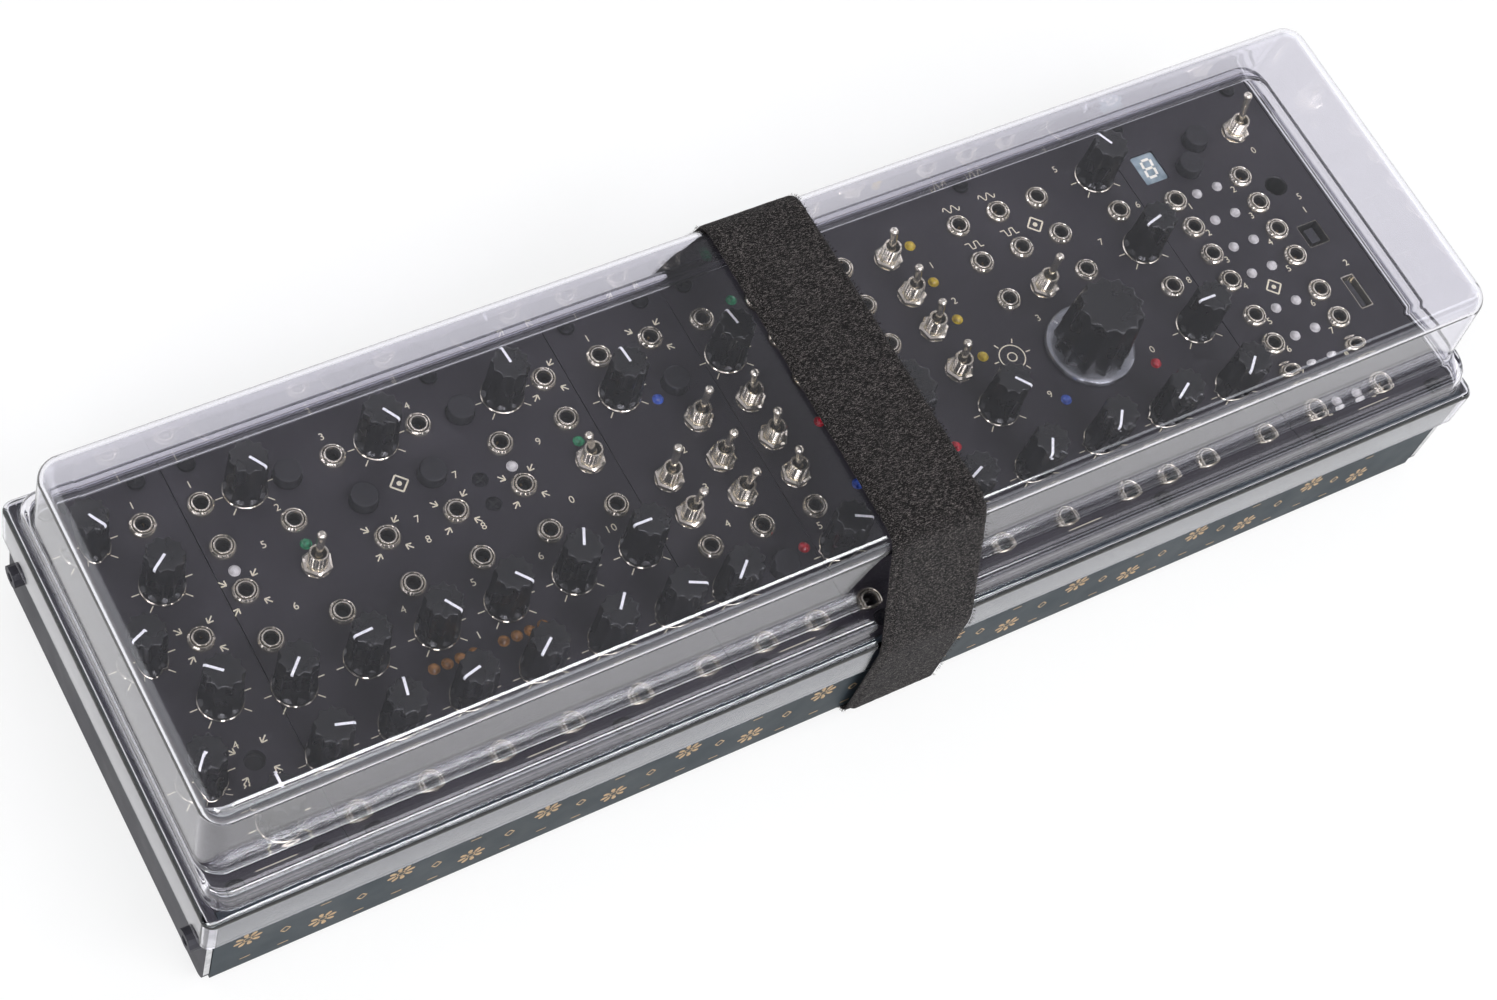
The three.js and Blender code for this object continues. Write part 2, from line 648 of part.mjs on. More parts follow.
// Display window: a rounded lit block in its opening
function makeDisplay([x, y]) {
  const shape = new THREE.Shape();
  const halfWidth = displayWidth / 2 - displayCornerRadius;
  const halfDepth = displayDepth / 2 - displayCornerRadius;
  shape.absarc(x + halfWidth, y + halfDepth, displayCornerRadius, 0, Math.PI / 2);
  shape.absarc(x - halfWidth, y + halfDepth, displayCornerRadius, Math.PI / 2, Math.PI);
  shape.absarc(x - halfWidth, y - halfDepth, displayCornerRadius, Math.PI, 1.5 * Math.PI);
  shape.absarc(x + halfWidth, y - halfDepth, displayCornerRadius, 1.5 * Math.PI, 2 * Math.PI);
  const depth = plateThickness - displayDrop;
  return new THREE.ExtrudeGeometry(shape, { depth, bevelEnabled: false, curveSegments: displaySteps })
    .translate(0, 0, plateBottom);
}

// Level ring of the cover: a rectangle with round corners
function coverRing({ x, front, back, radius, z }) {
  const points = [];
  const corners = [[x, back, 0], [-x, back, 1], [-x, front, 2], [x, front, 3]];
  for (const [cornerX, cornerY, quarter] of corners) {
    const centreX = cornerX - Math.sign(cornerX) * radius;
    const centreY = cornerY === back ? back - radius : front + radius;
    for (let i = 0; i <= cornerSteps; i++) {
      const angle = (quarter + i / cornerSteps) * Math.PI / 2;
      const pointX = centreX + radius * Math.cos(angle);
      points.push(new THREE.Vector3(pointX, centreY + radius * Math.sin(angle), z));
    }
  }
  return points;
}

// Levels of the cover's outside from rim to top, moved in by the wall for its inside
function coverLevels(inset) {
  const skirtX = cheekOutside + coverFit + coverWall - inset;
  const skirtY = caseBack + coverFit + coverWall - inset;
  const stepZ = plateTop + seatGap + coverWall - inset;
  const shelfZ = plateTop + coverShelfHeight - inset;
  const topZ = plateTop + coverTopHeight - inset;
  // Outside, the step is round; inside, it is square over the top edge of the case
  const stepFillet = inset ? 0 : coverStepInset;
  const midX = skirtX - coverStepInset;
  const midY = skirtY - coverStepInset;
  const cornerRadius = coverCornerRadius - inset;
  const shelfCornerRadius = coverShelfCornerRadius - inset;
  const rimZ = plateTop - coverSkirt;
  const levels = [{ x: skirtX, front: -skirtY, back: skirtY, radius: cornerRadius, z: rimZ }];
  const stepBottom = stepZ - stepFillet;
  for (let i = 0; i <= filletSteps; i++) {
    const turn = i / filletSteps * Math.PI / 2;
    const inward = coverStepInset * (1 - Math.cos(turn));
    levels.push({
      x: skirtX - inward, front: -skirtY + inward, back: skirtY - inward,
      radius: THREE.MathUtils.lerp(cornerRadius, shelfCornerRadius, inward / coverStepInset),
      z: stepBottom + stepFillet * Math.sin(turn),
    });
  }
  const shelfFillet = coverShelfRadius - inset / 2;
  for (let i = 0; i <= filletSteps; i++) {
    const turn = i / filletSteps * Math.PI / 2;
    const inward = coverShelfRadius * (1 - Math.cos(turn));
    const sideways = coverSideLedge * (1 - Math.cos(turn));
    levels.push({
      x: midX - sideways, front: -midY + coverDraft + inward, back: midY - coverDraft - inward,
      radius: shelfCornerRadius, z: shelfZ - shelfFillet + shelfFillet * Math.sin(turn),
    });
  }
  const plateauX = midX - 2 * coverSideLedge;
  const plateauFront = -midY + coverFrontShelf;
  const plateauBack = midY - coverBackLedge;
  const plateauRadius = coverPlateauRadius - inset;
  levels.push({
    x: midX - coverSideLedge, front: plateauFront - coverFootRadius, back: plateauBack + coverFootRadius,
    radius: shelfCornerRadius, z: shelfZ,
  });
  levels.push({
    x: plateauX, front: plateauFront, back: plateauBack, radius: plateauRadius, z: shelfZ + coverFootRadius,
  });
  const topFillet = coverTopRadius - inset;
  for (let i = 0; i <= filletSteps; i++) {
    const turn = i / filletSteps * Math.PI / 2;
    const inward = topFillet * (1 - Math.cos(turn));
    levels.push({
      x: plateauX - coverSideLedge - inward, front: plateauFront + coverWallDraft + inward,
      back: plateauBack - coverWallDraft - inward, radius: plateauRadius - inward / 2,
      z: topZ - topFillet + topFillet * Math.sin(turn),
    });
  }
  return levels;
}

// The cover's wall: its outside less its inside, which runs out below the rim
function makeCover() {
  const outside = coverLevels(0);
  const inside = coverLevels(coverWall);
  inside[0].z -= overrun;
  return toGeometry(toSolid(loft(outside.map(coverRing))).subtract(toSolid(loft(inside.map(coverRing)))));
}

// Half of the strap's line, from under the case to the top of the cover. It bends round three circles:
// the lower edge of the case, the top of the skirt and the top edge of the cover, and is straight between.
function strapHalf(side, outward) {
  const skirtY = caseBack + coverFit + coverWall + seatGap;
  const ledge = side > 0 ? coverBackLedge : coverFrontShelf;
  const lower = new THREE.Vector2(skirtY - strapEdgeRadius, footHeight - seatGap + strapEdgeRadius);
  const skirt = new THREE.Vector2(skirtY - strapSkirtRadius, plateTop);
  const top = new THREE.Vector2(
    caseBack + coverFit + coverWall - coverStepInset - ledge - coverWallDraft - coverTopRadius,
    plateTop + coverTopHeight - coverTopRadius,
  );
  const topRadius = coverTopRadius + seatGap;
  const span = top.clone().sub(skirt);
  const normal = span.angle() - Math.acos((strapSkirtRadius - topRadius) / span.length());
  const bends = [
    [lower, strapEdgeRadius, -Math.PI / 2, 0],
    [skirt, strapSkirtRadius, 0, normal],
    [top, topRadius, normal, Math.PI / 2],
  ];
  return bends.flatMap(([centre, radius, start, end]) => {
    const arc = [];
    for (let step = 0; step <= strapBendSteps; step++) {
      const angle = THREE.MathUtils.lerp(start, end, step / strapBendSteps);
      const reach = radius + outward;
      const y = centre.x + reach * Math.cos(angle);
      arc.push(new THREE.Vector2(side * y, centre.y + reach * Math.sin(angle)));
    }
    return arc;
  });
}

function strapLoop(outward) {
  return [...strapHalf(1, outward), ...strapHalf(-1, outward).reverse()];
}

function makeStrap() {
  const shape = new THREE.Shape(strapLoop(strapThickness));
  shape.holes.push(new THREE.Path(strapLoop(0)));
  const band = new THREE.ExtrudeGeometry(shape, { depth: strapWidth, bevelEnabled: false });
  return band.rotateX(Math.PI / 2).rotateZ(Math.PI / 2).translate(strapX - strapWidth / 2, 0, 0);
}

addMesh(synthesizer, "case_tray", makeTray(), caseGrey);
addMesh(synthesizer, "cheek_left", makeCheek(-1), cheekGrey);
addMesh(synthesizer, "cheek_right", makeCheek(1), cheekGrey);
addMesh(synthesizer, "bus_board", makeBusBoard(), boardGreen);

const controls = [
  ["knob", smallKnob, knobBlack],
  ["tuningKnob", tuningKnob, dialMetal],
  ["button", pushButton, buttonBlack],
  ["toggle", toggleLever, leverMetal],
];
let left = -rackWidth / 2;
for (const module of modules) {
  const bay = new THREE.Group();
  addMesh(bay, `plate_${module.name}`, makePlate(module, left), plateBlack);
  addMesh(bay, `board_${module.name}`, makeBoard(module, left), boardGreen);
  for (const [kind, make, material] of controls) {
    placesOf(module, left, kind).forEach((place, i) => {
      const word = kind.replace("tuningKnob", "tuning_knob");
      addMesh(bay, `${word}_${module.name}_${i + 1}`, make(place), material);
    });
  }
  for (const place of placesOf(module, left, "display")) {
    addMesh(bay, "display", makeDisplay(place), displayBlue);
  }
  synthesizer.add(bay);
  left += module.units * unitWidth;
}

addMesh(synthesizer, "cover", makeCover(), coverClear);
addMesh(synthesizer, "strap", makeStrap(), strapCloth);

export default synthesizer;
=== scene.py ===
# Looks of a modular synthesizer in a flat metal case, under a clear moulded cover with a textile strap.
# Everything is in metres, +Z up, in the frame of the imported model.
import math
import random

import bpy
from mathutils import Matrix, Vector, noise


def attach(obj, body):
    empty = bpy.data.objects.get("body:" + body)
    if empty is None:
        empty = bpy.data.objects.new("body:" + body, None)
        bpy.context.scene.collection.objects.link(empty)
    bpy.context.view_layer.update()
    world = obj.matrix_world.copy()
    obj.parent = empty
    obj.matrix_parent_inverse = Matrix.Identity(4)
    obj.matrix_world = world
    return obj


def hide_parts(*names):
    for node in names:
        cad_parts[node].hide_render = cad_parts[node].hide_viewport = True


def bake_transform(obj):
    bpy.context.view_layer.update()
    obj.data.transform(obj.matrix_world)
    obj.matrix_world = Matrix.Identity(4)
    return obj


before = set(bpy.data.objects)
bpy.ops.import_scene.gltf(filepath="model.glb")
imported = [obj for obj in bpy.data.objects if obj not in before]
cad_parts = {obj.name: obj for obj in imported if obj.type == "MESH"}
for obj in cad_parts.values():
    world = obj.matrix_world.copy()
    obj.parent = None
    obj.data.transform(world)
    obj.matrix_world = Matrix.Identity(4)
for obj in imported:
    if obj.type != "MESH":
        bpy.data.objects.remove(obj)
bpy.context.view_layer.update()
mm = 0.001
print("stage: frame loaded")


# Sizes of the real pieces, in millimetres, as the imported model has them
rack = {
    "unit": 5.08,
    "height": 128.5,
    "plateTop": 47.5,
    "plateThickness": 2.0,
    "plateGap": 0.3,
    "screwInset": 3.0,
    "firstScrew": 7.5,
    "seat": 0.3,
}

sixColumns = [0.046, 0.224, 0.403, 0.582, 0.761, 0.94]
upperFour = [0.731, 0.646, 0.56, 0.476]
lowerThree = [0.366, 0.28, 0.2015, 0.0935]

# Places on each plate, as shares of its width and of its height. A knob's third value is its pointer's
# angle; a toggle's third and fourth are its lever's lean and the direction that it leans in.
plates = {
    "mixer": {
        "units": 8,
        "screws": [0, 5],
        "jack": [(0.711, 0.869), (0.714, 0.571)],
        "bareJack": [(0.67, 0.272)],
        "knob": [(0.308, 0.272, 225), (0.647, 0.722, 217), (0.647, 0.426, 140), (0.647, 0.134, 90)],
        "fixedKnob": [(0.308, 0.869, -60), (0.308, 0.572, 200)],
        "arrows": [(0.714, 0.571), (0.67, 0.272)],
        "numbers": [("1", 0.71, 0.925), ("2", 0.86, 0.785), ("3", 0.52, 0.625), ("4", 0.6, 0.318)],
    },
    "voice": {
        "units": 24,
        "screws": [0, 15],
        "jack": [
            (0.046, 0.869), (0.38, 0.869), (0.603, 0.869), (0.94, 0.869),
            (0.046, 0.755), (0.224, 0.755), (0.761, 0.755), (0.94, 0.755),
            (0.046, 0.638), (0.403, 0.638), (0.582, 0.638), (0.761, 0.638),
        ] + [(share, 0.511) for share in sixColumns] + [(share, 0.0825) for share in sixColumns],
        "knob": [(share, 0.393, angle) for share, angle in zip(sixColumns, (225, 184, -58, -52, 64, 180))]
        + [(share, 0.223, angle) for share, angle in zip(sixColumns, (-17, 78, 194, 218, 50, -26))],
        "fixedKnob": [(0.157, 0.869, -58), (0.493, 0.869, -60), (0.828, 0.869, 95)],
        "button": [(0.261, 0.864), (0.712, 0.864), (0.396, 0.743), (0.574, 0.743)],
        "toggle": [(0.224, 0.638, 0, 0)],
        "fixedToggle": [(0.94, 0.638, -17, 0)],
        "trimmer": [(0.6735, 0.691), (0.6735, 0.624)],
        "lamp": [
            (0.046, 0.694, "clear"), (0.224, 0.694, "green"), (0.76, 0.694, "clear"), (0.94, 0.694, "green"),
        ] + [(share, 0.311, "amber") for share in (0.352, 0.386, 0.42, 0.4545, 0.531, 0.565, 0.599, 0.633)],
        "arrows": [(0.046, 0.638), (0.403, 0.638), (0.582, 0.638), (0.761, 0.638), (0.94, 0.869)],
        "mark": [(0.493, 0.752)],
        "numbers": [
            ("1", 0.045, 0.925), ("2", 0.205, 0.8), ("3", 0.38, 0.925), ("4", 0.603, 0.925),
            ("5", 0.135, 0.728), ("6", 0.135, 0.565), ("7", 0.49, 0.655), ("8", 0.49, 0.6),
            ("9", 0.85, 0.728), ("0", 0.85, 0.565), ("3", 0.245, 0.465), ("4", 0.355, 0.465),
            ("5", 0.535, 0.465), ("6", 0.712, 0.465), ("10", 0.9, 0.465), ("1", 0.485, 0.345),
            ("2", 0.485, 0.262), ("7", 0.625, 0.723), ("8", 0.625, 0.582),
        ],
    },
    "slope": {
        "units": 8,
        "screws": [0, 5],
        "jack": [
            (0.288, 0.874), (0.719, 0.874), (0.288, 0.334), (0.719, 0.334), (0.288, 0.082), (0.719, 0.082),
        ],
        "knob": [(0.285, 0.2195, 223)],
        "fixedKnob": [(0.288, 0.769, 96)],
        "button": [(0.711, 0.745), (0.719, 0.226)],
        "toggle": [(0.277, 0.525, 4, 90), (0.711, 0.525, -5, 90)],
        "fixedToggle": [(0.277, 0.424, -8, 90), (0.711, 0.424, -9, 90), (0.719, 0.638, 0, 90)],
        "lamp": [(0.527, 0.722, "blue"), (0.923, 0.2505, "red")],
        "arrows": [(0.719, 0.874)],
        "numbers": [
            ("1", 0.288, 0.93), ("2", 0.5, 0.58), ("3", 0.5, 0.475), ("4", 0.5, 0.372), ("5", 0.5, 0.285),
        ],
    },
    "oscillator": {
        "units": 32,
        "screws": [0, 20],
        "jack": [
            (0.04, 0.874), (0.04, 0.3315), (0.04, 0.0825),
            (0.16, 0.872), (0.253, 0.872), (0.347, 0.872), (0.615, 0.872), (0.708, 0.872), (0.8, 0.872),
            (0.16, 0.758), (0.253, 0.758), (0.347, 0.758), (0.615, 0.758), (0.708, 0.758), (0.8, 0.758),
            (0.16, 0.641), (0.347, 0.641), (0.62, 0.641), (0.803, 0.641), (0.942, 0.7595), (0.946, 0.517),
            (0.332, 0.0825), (0.474, 0.0825), (0.617, 0.0825), (0.709, 0.0825), (0.8, 0.0825), (0.94, 0.0825),
        ],
        "knob": [
            (0.045, 0.7665, 100), (0.045, 0.222, -28), (0.474, 0.391, -54), (0.4715, 0.2165, 237),
            (0.6285, 0.2165, 232), (0.9395, 0.2165, 223), (0.942, 0.6475, 194), (0.942, 0.4, 180),
        ],
        "fixedKnob": [(0.315, 0.2165, 203), (0.782, 0.2165, 211), (0.942, 0.8755, 116)],
        "tuningKnob": [(0.248, 0.451, 58), (0.7135, 0.451, 122)],
        "toggle": [
            (0.445, 0.856, -13, 0), (0.445, 0.743, -11, 0), (0.445, 0.638, -9, 0), (0.445, 0.5175, -10, 0),
        ],
        "fixedToggle": [
            (0.703, 0.641, 0, 0), (0.257, 0.641, 0, 0), (0.04, 0.638, -12, 0), (0.04, 0.529, -12, 0),
            (0.04, 0.4225, -14, 0),
        ],
        "lamp": [
            (0.503, 0.869, "yellow"), (0.503, 0.756, "yellow"), (0.503, 0.642, "yellow"),
            (0.506, 0.528, "yellow"),
            (0.115, 0.8965, "green"), (0.139, 0.524, "red"), (0.139, 0.3455, "blue"), (0.354, 0.341, "red"),
            (0.608, 0.347, "blue"), (0.8195, 0.3485, "red"),
        ],
        "mark": [(0.766, 0.807)],
        "waves": [(0.625, 0.925, False), (0.625, 0.812, True), (0.708, 0.925, False), (0.708, 0.812, True)],
        "rays": [(0.56, 0.5)],
        "numbers": [
            ("1", 0.52, 0.8), ("2", 0.52, 0.69), ("3", 0.655, 0.57), ("4", 0.76, 0.57), ("5", 0.875, 0.93),
            ("6", 0.99, 0.76), ("7", 0.87, 0.7), ("8", 0.99, 0.52), ("9", 0.585, 0.375), ("0", 0.83, 0.385),
            ("10", 0.52, 0.285), ("3", 0.87, 0.27), ("5", 0.03, 0.285),
        ],
    },
    "interface": {
        "units": 12,
        "screws": [0, 9],
        "jack": [(across, up) for up in upperFour + lowerThree for across in (0.176, 0.609)],
        "button": [(0.501, 0.871), (0.373, 0.807)],
        "toggle": [(0.75, 0.856, 13, 90)],
        "lamp": [(across, up, "clear") for up in upperFour + lowerThree for across in (0.324, 0.4565)],
        "display": [(0.168, 0.845)],
        "power": [(0.777, 0.677)],
        "squareSocket": [(0.796, 0.516)],
        "flatSocket": [(0.814, 0.329)],
        "mark": [(0.39, 0.421)],
        "numbers": [
            (str(i + 1), 0.245, up - 0.026) for i, up in enumerate(upperFour + lowerThree)
        ] + [
            (str(i + 2), 0.535, up - 0.024) for i, up in enumerate(upperFour + lowerThree)
        ] + [("5", 0.86, 0.625), ("1", 0.84, 0.585), ("2", 0.86, 0.41), ("0", 0.79, 0.79)],
    },
}
rackWidth = sum(plate["units"] for plate in plates.values()) * rack["unit"]


# Turns shares of a plate into X and Y in millimetres
def spot(module, across, up):
    left = -rackWidth / 2
    for name, plate in plates.items():
        width = plate["units"] * rack["unit"]
        if name == module:
            return left + across * width, (up - 0.5) * rack["height"]
        left += width


# Colours are written as sRGB hex and turned to linear here
def colour(hexCode):
    channels = [int(hexCode[i:i + 2], 16) / 255 for i in (1, 3, 5)]
    return (*(c / 12.92 if c <= 0.04045 else ((c + 0.055) / 1.055) ** 2.4 for c in channels), 1.0)


# Adds a node with its settings, socket values and links; a link from a whole node starts at its first output
def addNode(tree, kind, values=None, links=None, **settings):
    node = tree.nodes.new(kind)
    for name, value in settings.items():
        setattr(node, name, value)
    for socket, value in (values or {}).items():
        node.inputs[socket].default_value = value
    for socket, source in (links or {}).items():
        tree.links.new(source if hasattr(source, "is_output") else source.outputs[0], node.inputs[socket])
    return node


# Adds a fine relief to a shader: a noise of some grain in millimetres, and how deep it looks
def addRelief(tree, shader, grain, strength, distance=0.05, detail=3.0, stretch=(1, 1, 1)):
    place = addNode(tree, "ShaderNodeTexCoord").outputs["Object"]
    mapped = addNode(tree, "ShaderNodeMapping", {"Scale": stretch}, {"Vector": place})
    size = {"Scale": 1 / (grain * mm), "Detail": detail}
    grains = addNode(tree, "ShaderNodeTexNoise", size, {"Vector": mapped})
    depth = {"Strength": strength, "Distance": distance * mm}
    bump = addNode(tree, "ShaderNodeBump", depth, {"Height": grains})
    tree.links.new(bump.outputs["Normal"], shader.inputs["Normal"])


# Lets a noise move a shader's colour between two hex colours, over a size in millimetres
def addTones(tree, shader, size, dark, light):
    place = addNode(tree, "ShaderNodeTexCoord").outputs["Object"]
    scale = {"Scale": 1 / (size * mm), "Detail": 4.0}
    patches = addNode(tree, "ShaderNodeTexNoise", scale, {"Vector": place})
    ramp = addNode(tree, "ShaderNodeValToRGB", links={"Fac": patches})
    for stop, position, tone in zip(ramp.color_ramp.elements, (0.35, 0.65), (dark, light)):
        stop.position, stop.color = position, colour(tone)
    tree.links.new(ramp.outputs["Color"], shader.inputs["Base Color"])


# Lets a noise move a shader's roughness between two values, over a size in millimetres
def addWear(tree, shader, size, low, high):
    place = addNode(tree, "ShaderNodeTexCoord").outputs["Object"]
    scale = {"Scale": 1 / (size * mm), "Detail": 5.0}
    smears = addNode(tree, "ShaderNodeTexNoise", scale, {"Vector": place})
    reach = {"From Min": 0.3, "From Max": 0.7, "To Min": low, "To Max": high}
    spread = addNode(tree, "ShaderNodeMapRange", reach, {"Value": smears})
    tree.links.new(spread.outputs["Result"], shader.inputs["Roughness"])


# Starts a material from typical values of the real one, then adds its relief, its tones and its wear
def newMaterial(name, relief=None, tones=None, wear=None, **shaderValues):
    material = bpy.data.materials.new(name)
    material.use_nodes = True
    tree = material.node_tree
    shader = tree.nodes["Principled BSDF"]
    for socket, value in shaderValues.items():
        shader.inputs[socket.replace("_", " ")].default_value = value
    for addLayer, settings in ((addRelief, relief), (addTones, tones), (addWear, wear)):
        if settings:
            addLayer(tree, shader, *settings)
    return material


finishes = {}

# Front plates: aluminium sheet with matte black paint, a soft charcoal under studio light
finishes["plate"] = newMaterial(
    "mattePaintedAluminium", relief=(0.25, 0.1), tones=(30, "#28262b", "#302e33"), wear=(18, 0.4, 0.5),
    IOR=1.5, Specular_IOR_Level=0.35,
)

# Legends: cream screen-printed ink, a little broken where the paint grain shows through
finishes["ink"] = newMaterial(
    "creamScreenInk", relief=(0.1, 0.1), tones=(0.4, "#dcd6b6", "#f4efd6"), Roughness=0.55, IOR=1.5
)

# Jack nuts, bushings and levers: nickel-plated brass, bright with a warm cast; handling has dulled it in
# places, so its highlights are part sharp, part soft
finishes["nickel"] = newMaterial(
    "nickelPlatedBrass", tones=(2.5, "#d6cfbd", "#f0eadc"), wear=(3, 0.1, 0.18), Metallic=0.93
)

# Knobs: moulded phenolic, black with a satin skin and soft broad highlights
finishes["knob"] = newMaterial(
    "mouldedPhenolic", tones=(8, "#0e0e10", "#141517"), wear=(9, 0.22, 0.3), IOR=1.6
)

# Pointer lines: white filled paint, dull beside the satin knob
finishes["white"] = newMaterial(
    "whiteFillPaint", relief=(0.15, 0.1), tones=(0.5, "#e4e6e8", "#ffffff"), Roughness=0.5, IOR=1.5
)

# Push buttons: moulded matte silicone rubber, near black and dull
finishes["rubber"] = newMaterial(
    "mouldedSilicone", relief=(0.2, 0.15), tones=(2, "#1b1b1e", "#232327"), Roughness=0.62, IOR=1.43
)

# Case and end cheeks: folded steel with a fine powder coat, blue-grey and grey, matte with a faint grain
for part, name, dark, light in (
    ("case", "blueGreyPowderCoat", "#1f282d", "#262f35"), ("cheek", "greyPowderCoat", "#2b2a2f", "#333238"),
):
    finishes[part] = newMaterial(
        name, relief=(0.45, 0.25, 0.08), tones=(40, dark, light), wear=(15, 0.48, 0.6),
        IOR=1.5, Specular_IOR_Level=0.3,
    )

# Decorative print on the case: gold ink with a dull shine
finishes["gold"] = newMaterial(
    "dullGoldInk", relief=(0.2, 0.1), tones=(0.8, "#a2835c", "#c4a67c"), Metallic=0.4, Roughness=0.45
)

# Sheared edge of the end cheeks: bare aluminium with upright shear marks, a bright line
finishes["edge"] = newMaterial(
    "shearedAluminium", relief=(0.3, 0.2, 0.05, 3.0, (1, 1, 0.2)), tones=(2, "#b9babc", "#dcdcdd"),
    wear=(2, 0.3, 0.45), Metallic=1.0,
)

# Screws: steel with black oxide, dark with oily highlights
finishes["screw"] = newMaterial(
    "blackOxideSteel", relief=(0.15, 0.1), tones=(1, "#17171a", "#242428"), wear=(1, 0.28, 0.42), Metallic=0.7
)

# Contact springs in the jacks: phosphor bronze, a brown glint in the bore
finishes["contact"] = newMaterial(
    "phosphorBronze", relief=(0.1, 0.08), tones=(0.8, "#7d6a4f", "#a08b6c"), wear=(1, 0.2, 0.35), Metallic=1.0
)

# Bodies inside the jacks and sockets: moulded nylon, black and dull. The same black is painted shade on the
# flat crosses of the screws' recesses and on the floor of the groove round each jack's rim
finishes["dark"] = newMaterial(
    "blackNylonMoulding", relief=(0.2, 0.15), tones=(1, "#0b0b0c", "#131315"), Roughness=0.5, IOR=1.53
)

# Tongues of the data sockets: glass-filled nylon, a dark grey that shows against the black socket
finishes["tongue"] = newMaterial(
    "greyNylonMoulding", relief=(0.2, 0.1), tones=(0.8, "#26262a", "#37373c"), Roughness=0.35, IOR=1.53
)

# Display: a pale lit window behind clear epoxy, and its segments, paler still
finishes["display"] = newMaterial(
    "paleLitEpoxy", tones=(3, "#788c93", "#9cafb4"), Roughness=0.2, IOR=1.55, Coat_Weight=0.5
)
finishes["segment"] = newMaterial(
    "idleDisplaySegment", tones=(1, "#f1eed6", "#fbfaee"), Roughness=0.3, IOR=1.55
)

# Lamps: tinted epoxy lenses, glossy and a little see-through
for tint, dark, light in (
    ("green", "#0f6b45", "#2fa36f"), ("clear", "#cbcac6", "#efede9"), ("amber", "#8a5a22", "#c58a45"),
    ("blue", "#2546a3", "#4c74d8"), ("red", "#a30d1c", "#d8263a"), ("yellow", "#b89a12", "#e6cb2e"),
):
    finishes[tint] = newMaterial(
        tint + "EpoxyLens", tones=(1.2, dark, light),
        Roughness=0.1, IOR=1.55, Transmission_Weight=0.2, Coat_Weight=0.6,
    )


# Dials of the tuning knobs: aluminium turned on a lathe, so its highlights open into two bright fans
def turnedAluminium():
    material = newMaterial(
        "turnedAnodisedAluminium", tones=(6, "#a9acb2", "#c3c5c9"),
        Metallic=1.0, Roughness=0.24, Anisotropic=0.85,
    )
    tree = material.node_tree
    turned = addNode(tree, "ShaderNodeTangent", direction_type="UV_MAP", uv_map="turned")
    tree.links.new(turned.outputs["Tangent"], tree.nodes["Principled BSDF"].inputs["Tangent"])
    return material


# Circuit boards: green solder mask over glass fibre, with black bodies standing on the top side
def solderMask(boardTop):
    material = newMaterial("solderMaskedGlassFibre", relief=(0.8, 0.1), Roughness=0.35, IOR=1.5)
    tree = material.node_tree
    place = addNode(tree, "ShaderNodeTexCoord").outputs["Object"]
    patches = addNode(tree, "ShaderNodeTexNoise", {"Scale": 1 / (2.5 * mm)}, {"Vector": place})
    green, black = [
        addNode(
            tree, "ShaderNodeMix", {6: colour(dark), 7: colour(light)}, {0: patches}, data_type="RGBA"
        ).outputs[2]
        for dark, light in (("#12301f", "#1d4a30"), ("#0f0f11", "#1b1b1e"))
    ]
    height = addNode(tree, "ShaderNodeSeparateXYZ", links={"Vector": place}).outputs["Z"]
    above = addNode(tree, "ShaderNodeMath", {1: boardTop * mm}, {0: height}, operation="GREATER_THAN")
    both = addNode(tree, "ShaderNodeMix", links={0: above, 6: green, 7: black}, data_type="RGBA")
    tree.links.new(both.outputs[2], tree.nodes["Principled BSDF"].inputs["Base Color"])
    return material


# Cover: clear polycarbonate with a trace of smoke, vacuum formed; lamps reach what lies under it
def clearPolycarbonate():
    material = newMaterial(
        "clearPolycarbonate", relief=(60, 0.03, 0.2, 0.0), tones=(120, "#f3f2f8", "#f7f6fb"),
        Roughness=0.015, IOR=1.585, Transmission_Weight=1.0,
    )
    tree = material.node_tree
    shadow = addNode(tree, "ShaderNodeLightPath").outputs["Is Shadow Ray"]
    seeThrough = addNode(tree, "ShaderNodeBsdfTransparent", {"Color": colour("#f3f2f6")})
    mixed = addNode(
        tree, "ShaderNodeMixShader", links={0: shadow, 1: tree.nodes["Principled BSDF"], 2: seeThrough}
    )
    tree.links.new(mixed.outputs["Shader"], tree.nodes["Material Output"].inputs["Surface"])
    return material
